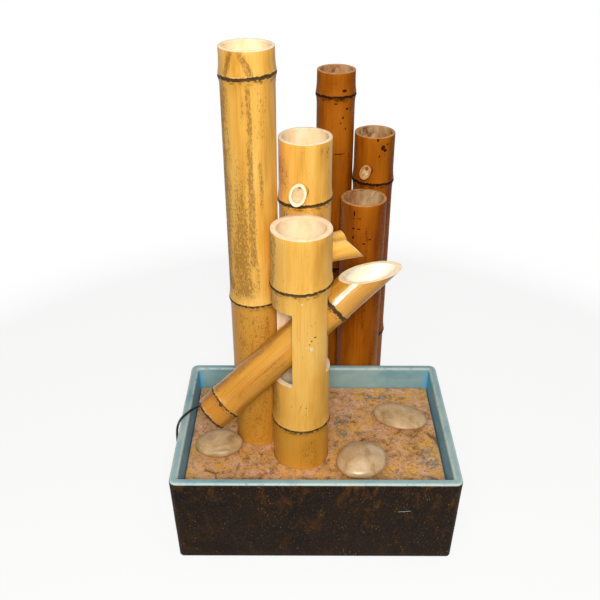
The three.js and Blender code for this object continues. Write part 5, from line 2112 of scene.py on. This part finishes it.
def feed_post(light: Bamboo) -> Post:
    """The post that feeds the cup, with its two spouts.

    Args:
        light: The light bamboo.

    Returns:
        The post.
    """
    front = Spout("feed_spout", "feed_post", start=0.0263, reach=0.0595, radius=0.0112,
                  heading=-101.5, height=0.505, tilt=45, bore=0.00485, web=0.0332)
    side = Spout("side_spout", "feed_post", start=0.0263, reach=0.065, radius=0.0092,
                 heading=30, height=0.409, tilt=18, bore=0.0046, web=0.0332)
    return Post(
        "feed_post",
        CulmShape(radius=0.0352, wall=0.0049, foot=POST_FOOT, top=0.5662, nodes=(0.190, 0.4839),
                  seed=3.9, tilts=(0.0, 0.04), weights=(1.0, 1.2)),
        light, "light_bamboo", spouts=(front, side),
        stains_and_shade=(StainOrShade(-150, 26, 0.49, 0.55, 0.4), StainOrShade(-150, 28, 0.35, 0.48, 0.6),
                StainOrShade(-56, 5, 0.544, 0.566, 0.7), StainOrShade(-34, 6, 0.535, 0.566, 0.5),
                StainOrShade(-60, 16, 0.4, 0.478, 0.5)),
        # Its spouts' insides are darker: partly their own tone and partly painted shade.
        spout_bamboo=Bamboo(LIGHT_SKIN, SPOUT_INSIDE_SHADED, light.cut))


def dark_posts(dark: Bamboo) -> list[Post]:
    """The three dark posts behind the basin, with their spout.

    Args:
        dark: The dark bamboo.

    Returns:
        The posts.
    """
    slot = "dark_bamboo"
    streaks = (StainOrShade(-165, 18, 0.1, 0.62, 0.5), StainOrShade(-30, 22, 0.14, 0.62, 0.5),
               StainOrShade(-84, 5, 0.2, 0.4, 0.4))
    spout = Spout("dark_spout", "dark_feed_post", start=0.0225, reach=0.050, radius=0.0086,
                  heading=-112, height=0.4575, tilt=45, bore=0.0043, web=0.029)
    cup = Post(
        "dark_cup_post",
        CulmShape(radius=0.0343, wall=0.0045, foot=0.0, top=0.4287, nodes=(0.060,), seed=5.2),
        dark, slot, streaks,
        marks=(Mark(-117, 0.416, 0.0013, 0.0055), Mark(-119, 0.4075, 0.0012, 0.0012),
               Mark(-103, 0.4085, 0.0028, 0.0009), Mark(-118, 0.3917, 0.0023, 0.0015),
               Mark(-104, 0.3917, 0.0026, 0.0012), Mark(-118, 0.377, 0.0017, 0.0028),
               Mark(-75, 0.3745, 0.0022, 0.0013), Mark(-90, 0.3675, 0.0028, 0.0011),
               Mark(-66, 0.302, 0.0013, 0.0045), Mark(-80, 0.25, 0.0012, 0.0016)))
    tall = Post(
        "dark_tall_post",
        CulmShape(radius=0.0282, wall=0.0045, foot=0.0, top=0.6052, nodes=(0.292, 0.5713),
                  seed=6.5, tilts=(0.0, 0.01)),
        dark, slot, streaks,
        marks=(Mark(-67, 0.5805, 0.0036, 0.0024), Mark(-56, 0.5535, 0.0026, 0.0018),
               Mark(-92, 0.562, 0.0026, 0.0012), Mark(-69, 0.541, 0.0015, 0.0022),
               Mark(-78, 0.486, 0.0098, 0.0008), Mark(-76, 0.533, 0.0012, 0.0012),
               Mark(-60, 0.524, 0.0012, 0.002)))
    feed = Post(
        "dark_feed_post",
        CulmShape(radius=0.031, wall=0.0045, foot=0.0, top=0.508, nodes=(0.156, 0.4343),
                  seed=7.8, tilts=(0.0, -0.02)),
        dark, slot, streaks, spouts=(spout,),
        marks=(Mark(-70, 0.4925, 0.0034, 0.0042), Mark(-63, 0.488, 0.0032, 0.0024),
               Mark(-86, 0.505, 0.0018, 0.0034), Mark(-56, 0.497, 0.002, 0.0014),
               Mark(-80, 0.4795, 0.0014, 0.0018)))
    return [cup, tall, feed]


def carried_nodes() -> list[Carried]:
    """The CAD nodes that stay: the pump, its hose and cable, the slab's legs and the dowels.

    Returns:
        The nodes with their finishes.
    """
    corners = [f"{end}_{side}" for end in ("front", "rear") for side in ("left", "right")]
    feet = tuple(f"pump_foot_{corner}" for corner in corners)
    legs = tuple(f"slab_leg_{corner}" for corner in corners)
    dowels = tuple(sorted(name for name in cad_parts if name.startswith("dowel_")))
    return [
        Carried(Moulded("pump_plastic", (38, 42, 46), (58, 62, 66), 0.5),
                ("pump_body", "pump_cover", "pump_outlet")),
        Carried(Moulded("knob_plastic", (70, 92, 120), (96, 116, 140), 0.42), ("pump_flow_knob",)),
        Carried(Moulded("rotor_plastic", (196, 198, 196), (170, 172, 170), 0.45),
                ("pump_impeller",)),
        Carried(Moulded("shaft_ceramic", (232, 230, 224), (214, 212, 204), 0.25), ("pump_shaft",)),
        Carried(Moulded("hose_plastic", (62, 66, 66), (92, 96, 94), 0.4, 400.0), ("riser_hose",)),
        Carried(RUBBER, ("pump_cable_gland", *feet)),
        Carried(Moulded("cable_jacket", (22, 22, 23), (44, 44, 44), 0.46), ("pump_cable",)),
        Carried(SlabStone("leg_stone"), legs),
        Carried(BambooCut("dowel_wood", (196, 156, 98), (166, 122, 70), (110, 74, 38)), dowels)]


def main() -> None:
    """Builds the studio, the lead and each sub-assembly in order."""
    logging.basicConfig(level=logging.INFO, format="%(name)s %(relativeCreated)d ms: %(message)s")
    Studio().build(cad_box[0][2] - FLOOR_GAP)
    Lead().build(Moulded("lead_jacket", (20, 20, 21), (40, 40, 41), 0.4), RUBBER, Metal())
    Grommet().build(RUBBER)
    light = Bamboo(LIGHT_SKIN, LIGHT_INSIDE, LIGHT_CUT)
    rocker = Rocker(Bamboo(ROCKER_SKIN, ROCKER_INSIDE, ROCKER_CUT))
    dark = Bamboo(DARK_SKIN, DARK_INSIDE, DARK_CUT)
    for post in (pivot_post(light), tall_post(light), feed_post(light)):
        post.build()
    rocker.build()
    rocker.build_pin(PIN_CUT)
    for post in dark_posts(dark):
        post.build()
    Basin().build(GlazeOutside(), GlazeInside())
    Slab().build(SlabStone())
    Pebble("pebble_left", 0.074, 0.060, 0.022, 8, 1.0).build(
        PebbleStone("pebble_left_stone", seed=1.0))
    Pebble("pebble_rear", 0.088, 0.060, 0.018, -20, 2.0).build(
        PebbleStone("pebble_rear_stone", seed=2.0))
    Pebble("pebble_front", 0.080, 0.072, 0.030, 35, 3.0).build(
        PebbleStone("pebble_front_stone", seed=3.0, roughness=0.3, damp=0.5))
    for carried in carried_nodes():
        carried.dress()


if __name__ == "__main__":
    main()
